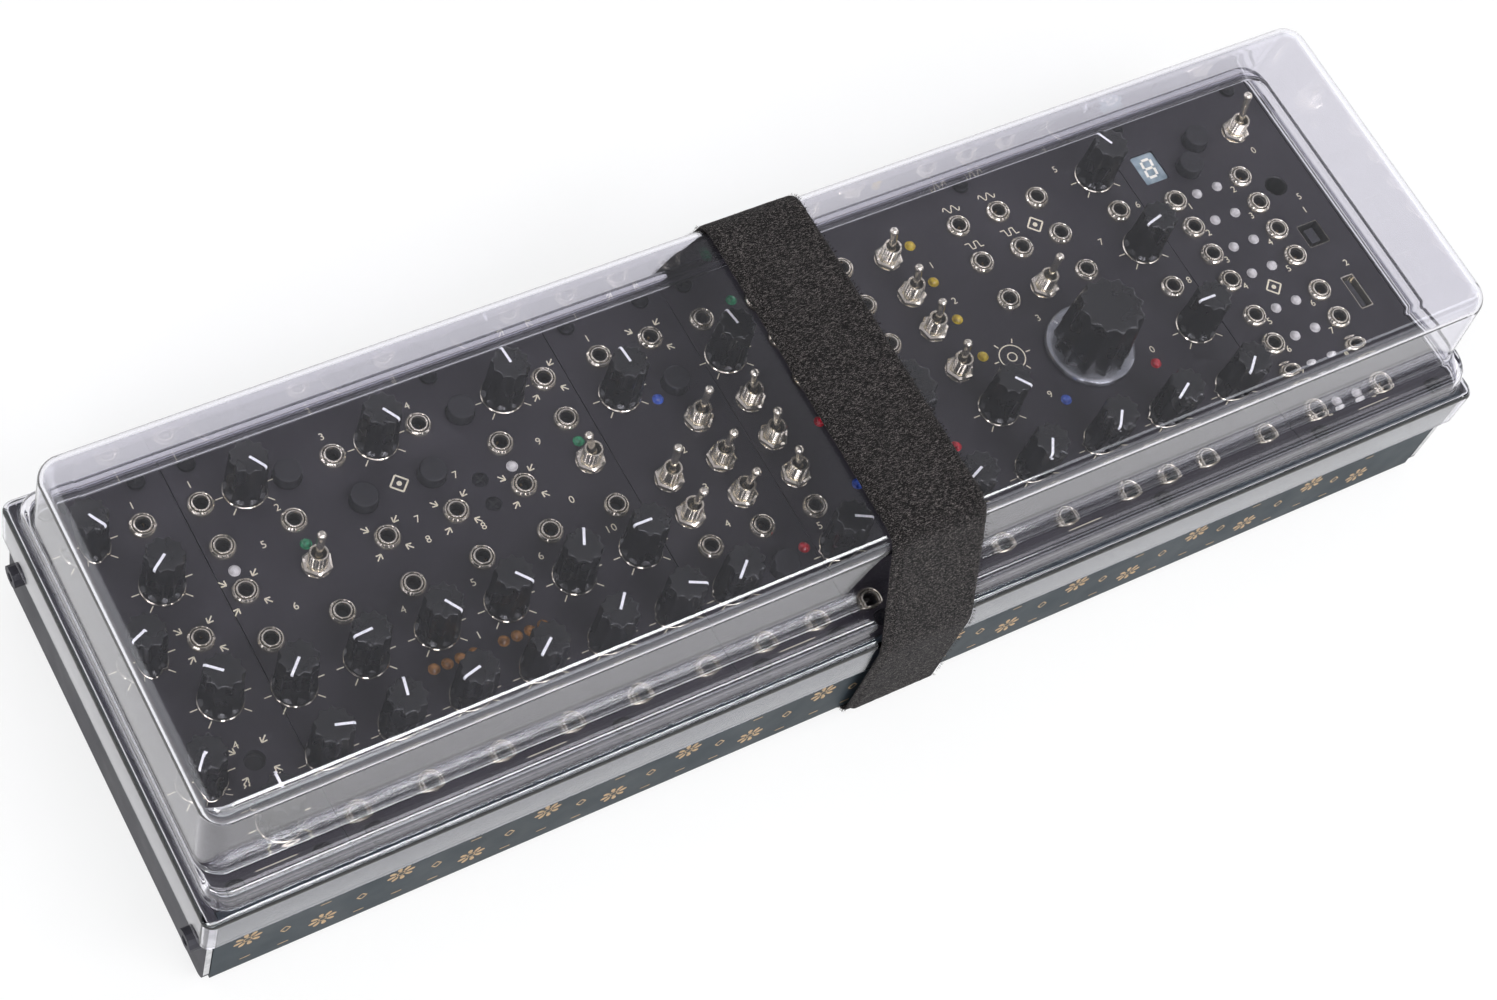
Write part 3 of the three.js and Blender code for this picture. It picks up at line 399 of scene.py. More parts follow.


# Strap: hook-and-loop webbing, black-brown; its loops lie in fine crosswise rows. Its colour follows their
# height: raised loops are painted pale as painted highlights, and the hollows near black as painted shade.
# The rows are 0.25 mm apart on the real one, and are drawn at 0.3 mm so that they show.
def loopWebbing():
    material = newMaterial(
        "loopPileWebbing",
        Roughness=1.0, IOR=1.45, Specular_IOR_Level=0.15, Sheen_Weight=0.03, Sheen_Roughness=0.6,
    )
    tree = material.node_tree
    shader = tree.nodes["Principled BSDF"]
    place = addNode(tree, "ShaderNodeTexCoord").outputs["Object"]
    rows = addNode(tree, "ShaderNodeMapping", {"Scale": (0.3, 1, 1)}, {"Vector": place})
    loops, fineLoopsAndGlints = [
        addNode(
            tree, "ShaderNodeTexNoise", {"Scale": 1 / (size * mm), "Detail": detail, "Roughness": roughness},
            {"Vector": vector},
        )
        for size, detail, roughness, vector in (
            (0.3, 2.0, 0.7, rows), (0.22, 1.0, 0.8, place),
        )
    ]
    height = addNode(tree, "ShaderNodeMath", links={0: loops, 1: fineLoopsAndGlints}, operation="ADD")
    bump = addNode(tree, "ShaderNodeBump", {"Strength": 0.9, "Distance": 0.25 * mm}, {"Height": height})
    tree.links.new(bump.outputs["Normal"], shader.inputs["Normal"])
    # The height also sets the colour: pale on the raised loops as painted highlights, near black between them
    # as painted shade
    half = addNode(tree, "ShaderNodeMath", {1: 0.5}, {0: height}, operation="MULTIPLY")
    ramp = addNode(tree, "ShaderNodeValToRGB", links={"Fac": half})
    stops = ramp.color_ramp.elements
    stops[0].position, stops[0].color = 0.42, colour("#0a0909")
    stops[1].position, stops[1].color = 0.64, colour("#7c7573")
    stops.new(0.53).color = colour("#191717")
    tree.links.new(ramp.outputs["Color"], shader.inputs["Base Color"])
    return material


finishes["dial"] = turnedAluminium()
finishes["cover"] = clearPolycarbonate()
finishes["strap"] = loopWebbing()
print("stage: materials made")


# A shape is a list of points and faces in millimetres, with a material number for each face
class Shape:
    def __init__(self, points=(), faces=(), slot=0):
        self.points, self.faces, self.slots = [], [], []
        self.add(points, faces, slot)

    def add(self, points, faces, slot=0):
        start = len(self.points)
        self.points += [tuple(point) for point in points]
        self.faces += [tuple(start + i for i in face) for face in faces]
        self.slots += [slot] * len(faces)

    # Leans a shape from upright, towards a direction in degrees
    def leaned(self, lean, direction):
        tilt, turn = math.radians(lean), math.radians(direction)
        copy = Shape()
        for x, y, z in self.points:
            along = x * math.cos(tilt) + z * math.sin(tilt)
            copy.points.append((
                along * math.cos(turn) - y * math.sin(turn), along * math.sin(turn) + y * math.cos(turn),
                z * math.cos(tilt) - x * math.sin(tilt),
            ))
        copy.faces, copy.slots = self.faces, self.slots
        return copy

    # Adds a copy of another shape at a place, turned round Z
    def stamp(self, other, x=0.0, y=0.0, z=0.0, turn=0.0, slot=None):
        c, s = math.cos(turn), math.sin(turn)
        start = len(self.points)
        self.points += [(x + c * px - s * py, y + s * px + c * py, z + pz) for px, py, pz in other.points]
        self.faces += [tuple(start + i for i in face) for face in other.faces]
        self.slots += other.slots if slot is None else [slot] * len(other.faces)


def addObject(name, data):
    holder = bpy.data.objects.new(name, data)
    bpy.context.scene.collection.objects.link(holder)
    return holder


def makeMesh(name, shape, materials, smoothAngle=None):
    mesh = bpy.data.meshes.new(name)
    mesh.from_pydata([(x * mm, y * mm, z * mm) for x, y, z in shape.points], [], shape.faces)
    for material in materials:
        mesh.materials.append(finishes[material])
    mesh.polygons.foreach_set("material_index", shape.slots)
    mesh.update()
    mesh.shade_smooth()
    if smoothAngle:
        mesh.set_sharp_from_angle(angle=math.radians(smoothAngle))
    return mesh


# Makes a visible piece that rides on a body, and may stand for a imported node
def makePiece(name, shape, materials, body="case", replaced=None, smoothAngle=35):
    piece = addObject(name, makeMesh(name, shape, materials, smoothAngle))
    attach(piece, body)
    if replaced:
        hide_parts(replaced)
    return piece


# Cosine and sine at even steps of a quarter turn
def quarterTurn(steps, first=0):
    turns = [i / steps * math.pi / 2 for i in range(first, steps + 1)]
    return [(math.cos(turn), math.sin(turn)) for turn in turns]


def roundOutline(x, y, radius, count=32):
    turns = [2 * math.pi * i / count for i in range(count)]
    return [(x + radius * math.cos(turn), y + radius * math.sin(turn)) for turn in turns]


def boxOutline(x, y, width, depth, corner=0.5, steps=4):
    points = []
    for cx, cy, quarter in ((1, 1, 0), (-1, 1, 1), (-1, -1, 2), (1, -1, 3)):
        for i in range(steps + 1):
            turn = (quarter + i / steps) * math.pi / 2
            points.append((
                x + cx * (width / 2 - corner) + corner * math.cos(turn),
                y + cy * (depth / 2 - corner) + corner * math.sin(turn),
            ))
    return points


def atHeight(outline, z):
    return [(x, y, z) for x, y in outline]


# Revolves a profile of (radius, z) points round Z; ends on the axis close themselves
def lathe(profile, segments=32, slot=0):
    points, rows, faces = [], [], []
    for radius, z in profile:
        ring = atHeight(roundOutline(0, 0, radius, segments), z) if radius > 1e-6 else [(0, 0, z)]
        rows.append(range(len(points), len(points) + len(ring)))
        points += ring
    for low, high in zip(rows, rows[1:]):
        for i in range(segments):
            j = (i + 1) % segments
            if len(low) == 1:
                faces.append((low[0], high[j], high[i]))
            elif len(high) == 1:
                faces.append((low[i], low[j], high[0]))
            else:
                faces.append((low[i], low[j], high[j], high[i]))
    return Shape(points, faces, slot)


# Stacks rings of equal counts; caps close the two ends
def loft(rings, slot=0, capLow=True, capHigh=True):
    count = len(rings[0])
    last = (len(rings) - 1) * count
    faces = []
    for start in range(0, last, count):
        for i in range(count):
            j = (i + 1) % count
            faces.append((start + i, start + j, start + count + j, start + count + i))
    if capLow:
        faces.append(tuple(reversed(range(count))))
    if capHigh:
        faces.append(tuple(range(last, last + count)))
    return Shape([point for ring in rings for point in ring], faces, slot)


# A thin printed line along points, as flat quads facing up
def flatStroke(path, width, z=0.0, slot=0):
    shape = Shape()
    for (x0, y0), (x1, y1) in zip(path, path[1:]):
        length = math.hypot(x1 - x0, y1 - y0)
        nx, ny = -(y1 - y0) / length * width / 2, (x1 - x0) / length * width / 2
        corners = [(x0 - nx, y0 - ny), (x1 - nx, y1 - ny), (x1 + nx, y1 + ny), (x0 + nx, y0 + ny)]
        shape.add(atHeight(corners, z), [(0, 1, 2, 3)], slot)
    return shape


# Plain numerals, taken from the built-in font as flat faces
def digitShapes(size):
    shapes = {}
    for digit in "0123456789":
        curve = bpy.data.curves.new("digit", "FONT")
        curve.body = digit
        curve.size = size
        curve.align_x = curve.align_y = "CENTER"
        holder = addObject("digit", curve)
        bpy.context.view_layer.update()
        mesh = holder.to_mesh()
        shapes[digit] = Shape([v.co for v in mesh.vertices], [p.vertices for p in mesh.polygons])
        holder.to_mesh_clear()
        bpy.data.objects.remove(holder)
        bpy.data.curves.remove(curve)
    return shapes


# A scallop's depth follows a wave, softened at the ridges and spread to run from 0 to about 1
scallop = {"soften": 0.05, "shift": 0.22, "spread": 0.8}


# A level row of points round a grip: wide hollow scallops between narrow ridges
def flutedRow(k, radius, depthShare, z):
    row = []
    for i in range(k["segments"]):
        angle = 2 * math.pi * i / k["segments"]
        wave = math.sqrt(math.cos(k["flutes"] * angle / 2) ** 2 + scallop["soften"])
        hollow = (wave - scallop["shift"]) / scallop["spread"]
        reach = radius - k["fluteDepth"] * depthShare * hollow
        row.append((reach * math.cos(angle), reach * math.sin(angle), z))
    return row


# A grip: side rows of (radius, share of the flutes' depth, height), a round top edge and a dished face
def gripShape(k):
    top, edge, inner = k["height"], k["edge"], k["topRadius"] - k["edge"]
    rows = list(k["sides"])
    for cos, sin in quarterTurn(k["edgeSteps"]):
        rows.append((k["topRadius"] - edge * (1 - cos), 1, top - edge + edge * sin))
    for share in k["faceShares"]:
        rows.append((inner * share, share * share, top - k["dish"] * (1 - share) ** 0.5))
    return loft([flutedRow(k, *row) for row in rows])


# Small knob: a scalloped grip on a nickel foot ring, with a white pointer that runs over its top edge
smallKnob = {
    "topRadius": 5.8,
    "height": 18.4,
    "flutes": 10,
    "fluteDepth": 0.95,
    "edge": 0.6,
    "edgeSteps": 4,
    "dish": 0.12,
    "faceShares": (0.93, 0.7, 0.35, 0.05),
    "segments": 120,
    "sides": [(6.35, 0, 0.5), (6.35, 0, 1.6), (6.25, 0.5, 2.0), (6.2, 1, 2.3), (5.92, 1, 11.04)],
    "foot": [(5.35, 0), (6.55, 0), (6.55, 0.1), (6.2, 0.5), (5.35, 0.5)],
    "pointer": [(0, 18.33), (5.1, 18.45), (5.7, 18.04), (5.76, 17.1)],
    "pointerWidth": 0.8,
}


def knobShape(k):
    shape = Shape()
    shape.stamp(lathe(k["foot"], 48, slot=2))
    shape.stamp(gripShape(k))
    half = k["pointerWidth"] / 2
    points = [(x, y, z) for x, z in k["pointer"] for y in (-half, half)]
    shape.add(points, [(0, 2, 3, 1), (2, 4, 5, 3), (4, 6, 7, 5)], 1)
    return shape


# Big tuning knob: an anodised dial with an index line under a fluted grip
tuningKnob = {
    "topRadius": 10.5,
    "height": 24.7,
    "flutes": 12,
    "fluteDepth": 1.4,
    "edge": 1.0,
    "edgeSteps": 5,
    "dish": 0.3,
    "faceShares": (0.85, 0.5, 0.1),
    "segments": 144,
    "sides": [(12.3, 1, 2.4), (12.05, 1, 2.9), (11.4, 1, 13.55)],
    "dial": [
        (14.2, 0), (14.6, 0.4), (14.6, 1.4), (14.25, 2.05), (13.6, 2.35), (13.0, 2.4), (10.8, 2.4), (10.8, 0),
    ],
    "index": {"path": [(12.0, 0), (13.2, 0)], "width": 0.6, "z": 2.43},
}


def tuningShape(k):
    shape = Shape()
    shape.stamp(lathe(k["dial"], 96, slot=2))
    shape.stamp(gripShape(k))
    shape.stamp(flatStroke(slot=1, **k["index"]))
    return shape


# Jack: a round nut with a sloping face and two key notches, the socket's bright rim, its dark bore and a
# contact spring; a jack without a nut shows only its well. The floor of the narrow groove between nut and
# rim is black, painted shade
jack = {
    "nut": [
        (3.8, 0), (3.9, 0.15), (3.9, 1.15), (3.78, 1.35), (3.4, 1.85), (3.22, 1.9), (3.1, 1.78), (3.1, 0.6),
    ],
    "notchWidth": 0.9,
    "notchFloor": 1.4,
    # Floor of the groove between nut and rim, black as painted shade
    "gap": [(3.1, 0.7), (2.75, 0.7)],
    "rim": [
        (2.75, 0.7), (2.75, 1.8), (2.65, 1.96), (2.57, 2), (2.36, 2), (2.24, 1.94), (2.2, 1.8), (2.1, 0.8),
    ],
    "well": [(2.1, 0.8), (2.05, -7), (0, -7)],
    "spring": [(1.95, -4.7), (0.8, -2.8), (1.9, -1.6)],
    "springWidth": 0.8,
    "bareWell": [(3.05, 0), (3.0, -0.3), (2.9, -2.0), (2.2, -2.1), (2.1, -9.0), (0, -9.0)],
    "turn": (0.6, 7.3),  # each nut stops at another turn, in radians: the first, and the change over a plate
}


def jackShape(k):
    shape = Shape()
    nut = lathe(k["nut"], 64)
    nut.points = [
        (x, y, min(z, k["notchFloor"]) if abs(y) < k["notchWidth"] / 2 else z) for x, y, z in nut.points
    ]
    shape.stamp(nut)
    # The groove's black floor is painted shade
    shape.stamp(lathe(k["gap"], 40, slot=1))
    shape.stamp(lathe(k["rim"], 48))
    shape.stamp(lathe(k["well"], 28, slot=1))
    half = k["springWidth"] / 2
    shape.add([(x, y, z) for y, z in k["spring"] for x in (-half, half)], [(0, 1, 3, 2), (2, 3, 5, 4)], 2)
    return shape


# Toggle: washer, hexagon nut, an open threaded bushing, and the bat lever on the ball down inside it
toggle = {
    "washer": [(2.9, 0), (4.2, 0), (4.3, 0.1), (4.3, 0.3), (4.2, 0.4), (2.9, 0.4)],
    "across": 8.0,
    "nut": [(-0.35, 0.4), (0, 0.7), (0, 1.9), (-0.7, 2.3)],  # steps in from the corners, and heights
    "bushingRadius": 2.95,
    "bushingBore": 2.15,
    "bushingHeight": 7.6,
    "thread": 1.2,  # 0.6 on the real one, drawn coarser so that it shows
    "threadDepth": 0.36,
    "pivot": 5.8,
    "ball": 1.3,
    "neck": 0.95,
    "tip": 1.45,
    "tipStart": -0.2,
    "length": 13.0,
    "turn": (0.25, 1.3),  # as with the jacks' nuts: the first turn, and the change from one nut to the next
}


def bushingShape(k):
    shape = Shape()
    shape.stamp(lathe(k["washer"], 48))
    corner = k["across"] / 2 / math.cos(math.pi / 6)
    shape.stamp(loft([atHeight(roundOutline(0, 0, corner + step, 6), z) for step, z in k["nut"]]))
    outer, bore, top, thread = k["bushingRadius"], k["bushingBore"], k["bushingHeight"], k["thread"]
    floor = k["pivot"] - k["ball"]
    z = k["nut"][-1][1]
    profile = [(outer - 0.25, z)]
    while z < top - thread:
        crest = [(outer, z + thread * 0.4), (outer, z + thread * 0.55)]
        profile += crest + [(outer - k["threadDepth"], z + thread)]
        z += thread
    profile += [(outer - 0.08, top - 0.25), (outer - 0.25, top)]
    profile += [(bore + 0.12, top), (bore, top - 0.15), (bore, floor)]
    shape.stamp(lathe(profile, 36))
    shape.stamp(lathe([(bore, floor), (0, floor - 0.2)], 28, slot=1))
    return shape


def leverShape(k):
    ball, neck, tip, length = k["ball"], k["neck"], k["tip"], k["length"]
    profile = [(0, -ball)]
    for i in range(1, 7):
        turn = -math.pi / 2 + i / 8 * math.pi
        profile.append((ball * math.cos(turn), ball * math.sin(turn)))
    profile += [
        (neck, ball * 0.95), (neck, ball + 0.5), (neck + 0.2, length * 0.45), (tip - 0.2, length * 0.82),
    ]
    for i in range(7):
        turn = k["tipStart"] + i / 6 * (math.pi / 2 - k["tipStart"])
        profile.append((max(tip * math.cos(turn), 0), length - tip + tip * math.sin(turn)))
    return lathe(profile, 28)


# Push button: a low round cap with a soft edge and a faintly crowned face
pushButton = {
    "radius": 4.1, "height": 4.0, "edge": 0.5, "depth": 1.7, "crown": 0.08, "midShare": 0.5, "midDrop": 0.03,
}


def buttonShape(k):
    radius, height, edge = k["radius"], k["height"], k["edge"]
    profile = [(0, -k["depth"]), (radius, -k["depth"]), (radius, height - edge)]
    for cos, sin in quarterTurn(5, 1):
        profile.append((radius - edge + edge * cos, height - edge + edge * sin - k["crown"]))
    return lathe(profile + [(radius * k["midShare"], height - k["midDrop"]), (0, height)], 48)


# Lamp: a domed lens on a flange
lampLens = {"radius": 1.5, "height": 1.6, "flange": [(0, -0.2), (1.75, -0.2), (1.75, 0.2), (1.5, 0.25)]}


def lampShape(k):
    foot = k["flange"][-1][1]
    dome = [
        (max(k["radius"] * cos, 0), foot + (k["height"] - foot) * sin) for cos, sin in quarterTurn(6, 1)
    ]
    return lathe(k["flange"] + dome, 24)


# Two heads with a cross recess: the trimmer's screw, sunk in its hole, and the pan-head plate screw. The
# recess is a flat cross in the black finish, painted shade in place of its depth
trimmer = {
    "profile": [(2.45, -1.0), (2.45, -0.25), (2.2, -0.1), (0, -0.1)],
    "recess": {"path": [(-1.7, 0), (1.7, 0)], "width": 0.55, "z": -0.07},
    "turn": 0.4,
}
plateScrew = {
    "profile": [(2.7, 0), (2.7, 0.5), (2.5, 0.95), (1.9, 1.3), (0, 1.4)],
    "recess": {"path": [(-1.35, 0), (1.35, 0)], "width": 0.5, "z": 1.42},
    "turn": 0.7,
}


def crossHeadShape(k):
    shape = lathe(k["profile"], 28)
    # A flat black cross, painted shade where the recess is deep
    for turn in (k["turn"], k["turn"] + math.pi / 2):
        shape.stamp(flatStroke(slot=1, **k["recess"]), turn=turn)
    return shape


# Gives the turned dial a map whose first direction runs from its centre outward
def addTurnedLayer(mesh, x, y):
    layer = mesh.uv_layers.new(name="turned")
    for face in mesh.polygons:
        middle = face.center
        base = math.atan2(middle.y - y * mm, middle.x - x * mm)
        for loop in face.loop_indices:
            point = mesh.vertices[mesh.loops[loop].vertex_index].co
            dx, dy = point.x - x * mm, point.y - y * mm
            turn = math.atan2(dy, dx) - base
            turn -= 2 * math.pi * round(turn / (2 * math.pi))
            layer.data[loop].uv = (math.hypot(dx, dy) / mm, base + turn)


knobTemplate = knobShape(smallKnob)
jackTemplate = jackShape(jack)
wellTemplate = lathe(jack["bareWell"], 32, slot=1)
bushingTemplate = bushingShape(toggle)
leverTemplate = leverShape(toggle)
lampTemplate = lampShape(lampLens)
trimmerTemplate = crossHeadShape(trimmer)
screwTemplate = crossHeadShape(plateScrew)
digits = digitShapes(size=3.3)
print("stage: control shapes ready")


# A plate is a sheet with softly broken edges and a hole for each thing that passes through it
plateSheet = {
    "edge": 0.12,
    "smoothAngle": 40,
    "roundHoles": {"jack": 3.0, "bareJack": 3.1, "trimmer": 2.6, "button": 4.45, "power": 4.0},
    "boxHoles": {"squareSocket": (8.4, 9.0), "flatSocket": (5.2, 13.0), "display": (9.2, 11.6)},
}


def makePlate(module, plate):
    edge = plateSheet["edge"]
    left = spot(module, 0, 0)[0] + rack["plateGap"] / 2 + edge
    right = spot(module, 1, 0)[0] - rack["plateGap"] / 2 - edge
    half = rack["height"] / 2 - edge
    outlines = [[(left, -half), (right, -half), (right, half), (left, half)]]
    for kind, radius in plateSheet["roundHoles"].items():
        outlines += [roundOutline(*spot(module, *place), radius) for place in plate.get(kind, [])]
    for kind, size in plateSheet["boxHoles"].items():
        outlines += [boxOutline(*spot(module, *place), *size) for place in plate.get(kind, [])]
    curve = bpy.data.curves.new("plate_" + module, "CURVE")
    curve.dimensions = "2D"
    curve.fill_mode = "BOTH"
    for outline in outlines:
        spline = curve.splines.new("POLY")
        spline.points.add(len(outline) - 1)
        for point, (x, y) in zip(spline.points, outline):
            point.co = (x * mm, y * mm, 0, 1)
        spline.use_cyclic_u = True
    curve.extrude = (rack["plateThickness"] / 2 - edge) * mm
    curve.bevel_depth = edge * mm
    curve.bevel_resolution = 1
    holder = addObject("holder", curve)
    bpy.context.view_layer.update()
    mesh = bpy.data.meshes.new_from_object(holder.evaluated_get(bpy.context.evaluated_depsgraph_get()))
    bpy.data.objects.remove(holder)
    for vertex in mesh.vertices:
        vertex.co.z += (rack["plateTop"] - rack["plateThickness"] / 2) * mm
    mesh.materials.clear()
    mesh.materials.append(finishes["plate"])
    mesh.shade_smooth()
    mesh.set_sharp_from_angle(angle=math.radians(plateSheet["smoothAngle"]))
    sheet = addObject("sheet_" + module, mesh)
    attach(sheet, "case")
    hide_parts("plate_" + module)


# Printed marks, flat on the plate: ticks at each knob, arrows at some jacks, numerals, and plain ornaments
prints = {
    "lift": 0.02,
    "tick": [(6.8, 0), (9.0, 0)],
    "tickWidth": 0.32,
    "tickTurns": (0, 180, 225, 315),
    "line": 0.4,
    "arrow": ([(3.0, 0), (0.6, 0)], [(1.8, 1.1), (0.5, 0), (1.8, -1.1)]),
    "arrowReach": 5.0,
    "arrowTurns": (45, 135, 225, 315),
    "digitStep": 2.0,
    "diamond": 2.9,
    "diamondWidth": 0.55,
    "dot": 0.8,
    "rings": (1.5, 4.2),
    "ray": [(5.0, 0), (6.6, 0)],
    "wave": {"width": 6, "height": 2.4, "cycles": 2, "line": 0.35},
    "footLine": [(-6, 0), (6, 0)],
    "footLineAt": (0.5, 0.04),  # shares of the plate
}


# A plain diamond outline with a dot
def markShape():
    radius = prints["diamond"]
    shape = flatStroke(roundOutline(0, 0, radius, 4) + [(radius, 0)], prints["diamondWidth"])
    shape.add(atHeight(roundOutline(0, 0, prints["dot"], 20), 0), [range(20)])
    return shape


def waveShape(wave, square):
    path = []
    count = 12 * wave["cycles"]
    for i in range(count + 1):
        t = i / count
        level = math.sin(2 * math.pi * wave["cycles"] * t)
        if square:
            level = 1 if level >= 0 else -1
        path.append((wave["width"] * (t - 0.5), wave["height"] / 2 * level))
    return flatStroke(path, wave["line"])


def makeLegends(module, plate):
    ink = Shape()
    z = rack["plateTop"] + prints["lift"]

    # Stamps a shape at a place given in shares of the plate, at a reach from it towards a turn in degrees
    def printAt(shape, across, up, turn=0, reach=0):
        x, y = spot(module, across, up)
        angle = math.radians(turn)
        ink.stamp(shape, x + reach * math.cos(angle), y + reach * math.sin(angle), z, angle)

    tick = flatStroke(prints["tick"], prints["tickWidth"])
    for place in plate.get("knob", []) + plate.get("fixedKnob", []):
        for turn in prints["tickTurns"]:
            printAt(tick, *place[:2], turn)
    for across, up in plate.get("arrows", []):
        for turn in prints["arrowTurns"]:
            for path in prints["arrow"]:
                printAt(flatStroke(path, prints["line"]), across, up, turn, prints["arrowReach"])
    for text, across, up in plate.get("numbers", []):
        for i, digit in enumerate(text):
            x, y = spot(module, across, up)
            ink.stamp(digits[digit], x + (i - (len(text) - 1) / 2) * prints["digitStep"], y, z)
    for across, up in plate.get("mark", []):
        printAt(markShape(), across, up)
    for across, up, square in plate.get("waves", []):
        printAt(waveShape(prints["wave"], square), across, up)
    for across, up in plate.get("rays", []):
        for radius in prints["rings"]:
            printAt(flatStroke(roundOutline(0, 0, radius, 36) + [(radius, 0)], prints["line"]), across, up)
        for turn in range(0, 360, 60):
            printAt(flatStroke(prints["ray"], prints["line"]), across, up, turn)
    printAt(flatStroke(prints["footLine"], prints["line"]), *prints["footLineAt"])
    makePiece("legends_" + module, ink, ["ink"])


# Controls that move, with the starts of their nodes' and pieces' names, and how high they sit on the plate
movingControls = {
    "knob": {
        "node": "knob", "piece": "cap_", "seat": rack["seat"], "shape": knobTemplate,
        "materials": ["knob", "white", "nickel"], "slot": "knob_black",
    },
    "tuningKnob": {
        "node": "tuning_knob", "piece": "cap_", "seat": rack["seat"], "shape": tuningShape(tuningKnob),
        "materials": ["knob", "white", "dial"], "slot": "dial_metal",
    },
    "button": {
        "node": "button", "piece": "cap_", "seat": 0, "shape": buttonShape(pushButton),
        "materials": ["rubber"], "slot": "button_black",
    },
    "toggle": {
        "node": "toggle", "piece": "bat_", "seat": toggle["pivot"], "shape": leverTemplate,
        "materials": ["nickel"], "slot": "lever_metal",
    },
}


def makeMovingControls(module, plate):
    for kind, control in movingControls.items():
        for i, (across, up, *pose) in enumerate(plate.get(kind, [])):
            x, y = spot(module, across, up)
            shape = Shape()
            z = rack["plateTop"] + control["seat"]
            if kind == "toggle":
                shape.stamp(control["shape"].leaned(*pose), x, y, z)
            else:
                shape.stamp(control["shape"], x, y, z, math.radians(pose[0] if pose else 0))
            node = f"{control['node']}_{module}_{i + 1}"
            name = control["piece"] + node
            piece = makePiece(name, shape, control["materials"], body=node, replaced=node)
            if kind == "tuningKnob":
                addTurnedLayer(piece.data, x, y)


# What stays with the plate: nuts and bushings, screws, and the controls that share its node
def makeFixedControls(module, plate):
    top = rack["plateTop"]
    metal, screws, caps, lenses, trimmers = [Shape() for _ in range(5)]
    first, change = jack["turn"]
    for place in plate.get("jack", []):
        metal.stamp(jackTemplate, *spot(module, *place), top, turn=first + change * place[0])
    for place in plate.get("bareJack", []):
        metal.stamp(wellTemplate, *spot(module, *place), top)
    first, change = toggle["turn"]
    for kind in ("toggle", "fixedToggle"):
        for i, place in enumerate(plate.get(kind, [])):
            metal.stamp(bushingTemplate, *spot(module, *place[:2]), top, turn=first + change * i)
    for across, up, lean, direction in plate.get("fixedToggle", []):
        metal.stamp(leverTemplate.leaned(lean, direction), *spot(module, across, up), top + toggle["pivot"])
    makePiece("metalwork_" + module, metal, ["nickel", "dark", "contact"], smoothAngle=32)
    for step in plate["screws"]:
        x = spot(module, 0, 0)[0] + rack["firstScrew"] + step * rack["unit"]
        for side in (-1, 1):
            screws.stamp(screwTemplate, x, side * (rack["height"] / 2 - rack["screwInset"]), top, turn=step)
    for across, up, angle in plate.get("fixedKnob", []):
        caps.stamp(knobTemplate, *spot(module, across, up), top + rack["seat"], math.radians(angle))
    tints = sorted({lamp[2] for lamp in plate.get("lamp", [])})
    for across, up, tint in plate.get("lamp", []):
        lenses.stamp(lampTemplate, *spot(module, across, up), top, slot=tints.index(tint))
    for place in plate.get("trimmer", []):
        trimmers.stamp(trimmerTemplate, *spot(module, *place), top)
    for name, shape, materials, recordSlot in (
        ("screws_", screws, ["screw", "dark"], "panel_black"),
        ("caps_", caps, ["knob", "white", "nickel"], "knob_black"),
        ("lamps_", lenses, tints, "display_light"),
        ("trimmers_", trimmers, ["screw", "dark"], "panel_black"),
    ):
        if shape.faces:
            makePiece(name + module, shape, materials)


for moduleName, plateTable in plates.items():
    makePlate(moduleName, plateTable)
    makeLegends(moduleName, plateTable)
    makeFixedControls(moduleName, plateTable)
    makeMovingControls(moduleName, plateTable)
print("stage: plates and controls made")


# Sockets of the interface plate: a round one with its pin, and two plated shells with a tongue in each
sockets = {
    "well": [(3.95, -0.3), (3.6, -0.6), (3.6, -8.0), (0, -8.0)],
    "pin": [(1.0, -8.0), (1.0, -5.4), (0.7, -5.0), (0, -5.0)],
    "floor": -9.0,
    "rim": -0.2,
    "wallCorner": 0.4,
    "rimCorner": 0.5,
    "tongueCorner": 0.3,
    "tongueEdge": 0.3,
    "shells": {
        "squareSocket": {"size": (7.8, 8.4), "slot": 1, "rim": 0.2, "tongue": (3.4, 5.4), "tongueTop": -1.2},
        "flatSocket": {"size": (4.3, 12.0), "slot": 0, "rim": 0.8, "tongue": (1.7, 10.4), "tongueTop": -1.6},
    },
}


def makeSockets():
    shape = Shape()
    top = rack["plateTop"]
    plate = plates["interface"]
    x, y = spot("interface", *plate["power"][0])
    shape.stamp(lathe(sockets["well"], 32, slot=1), x, y, top)
    shape.stamp(lathe(sockets["pin"], 20), x, y, top)
    for kind, shell in sockets["shells"].items():
        x, y = spot("interface", *plate[kind][0])
        width, depth = shell["size"]
        outline = boxOutline(0, 0, width, depth, sockets["wallCorner"], 3)
        walls = [atHeight(outline, z) for z in (sockets["rim"], sockets["floor"])]
        outline = boxOutline(0, 0, *shell["tongue"], sockets["tongueCorner"], 2)
        end = shell["tongueTop"]
        tongue = [atHeight(outline, z) for z in (sockets["floor"], end - sockets["tongueEdge"], end)]
        rim = [
            atHeight(boxOutline(0, 0, width + grow, depth + grow, sockets["rimCorner"], 3), sockets["rim"])
            for grow in (shell["rim"], 0)
        ]
        for part in (
            loft(walls, shell["slot"], capLow=False), loft(tongue, 2), loft(rim, capLow=False, capHigh=False),
        ):
            shape.stamp(part, x, y, top)
    makePiece("sockets_interface", shape, ["nickel", "dark", "tongue"])


# Display: a clear window with seven idle segments
display = {
    "width": 8.6,
    "depth": 11.0,
    "corner": 1.0,
    "sunk": 0.3,
    "bevel": (0.15, 0.2),
    "segment": 0.95,
    "segmentGap": 0.12,
    "segmentLift": 0.02,
    "digitWidth": 3.6,
    "digitHeight": 6.6,
    "slant": 0.12,
}


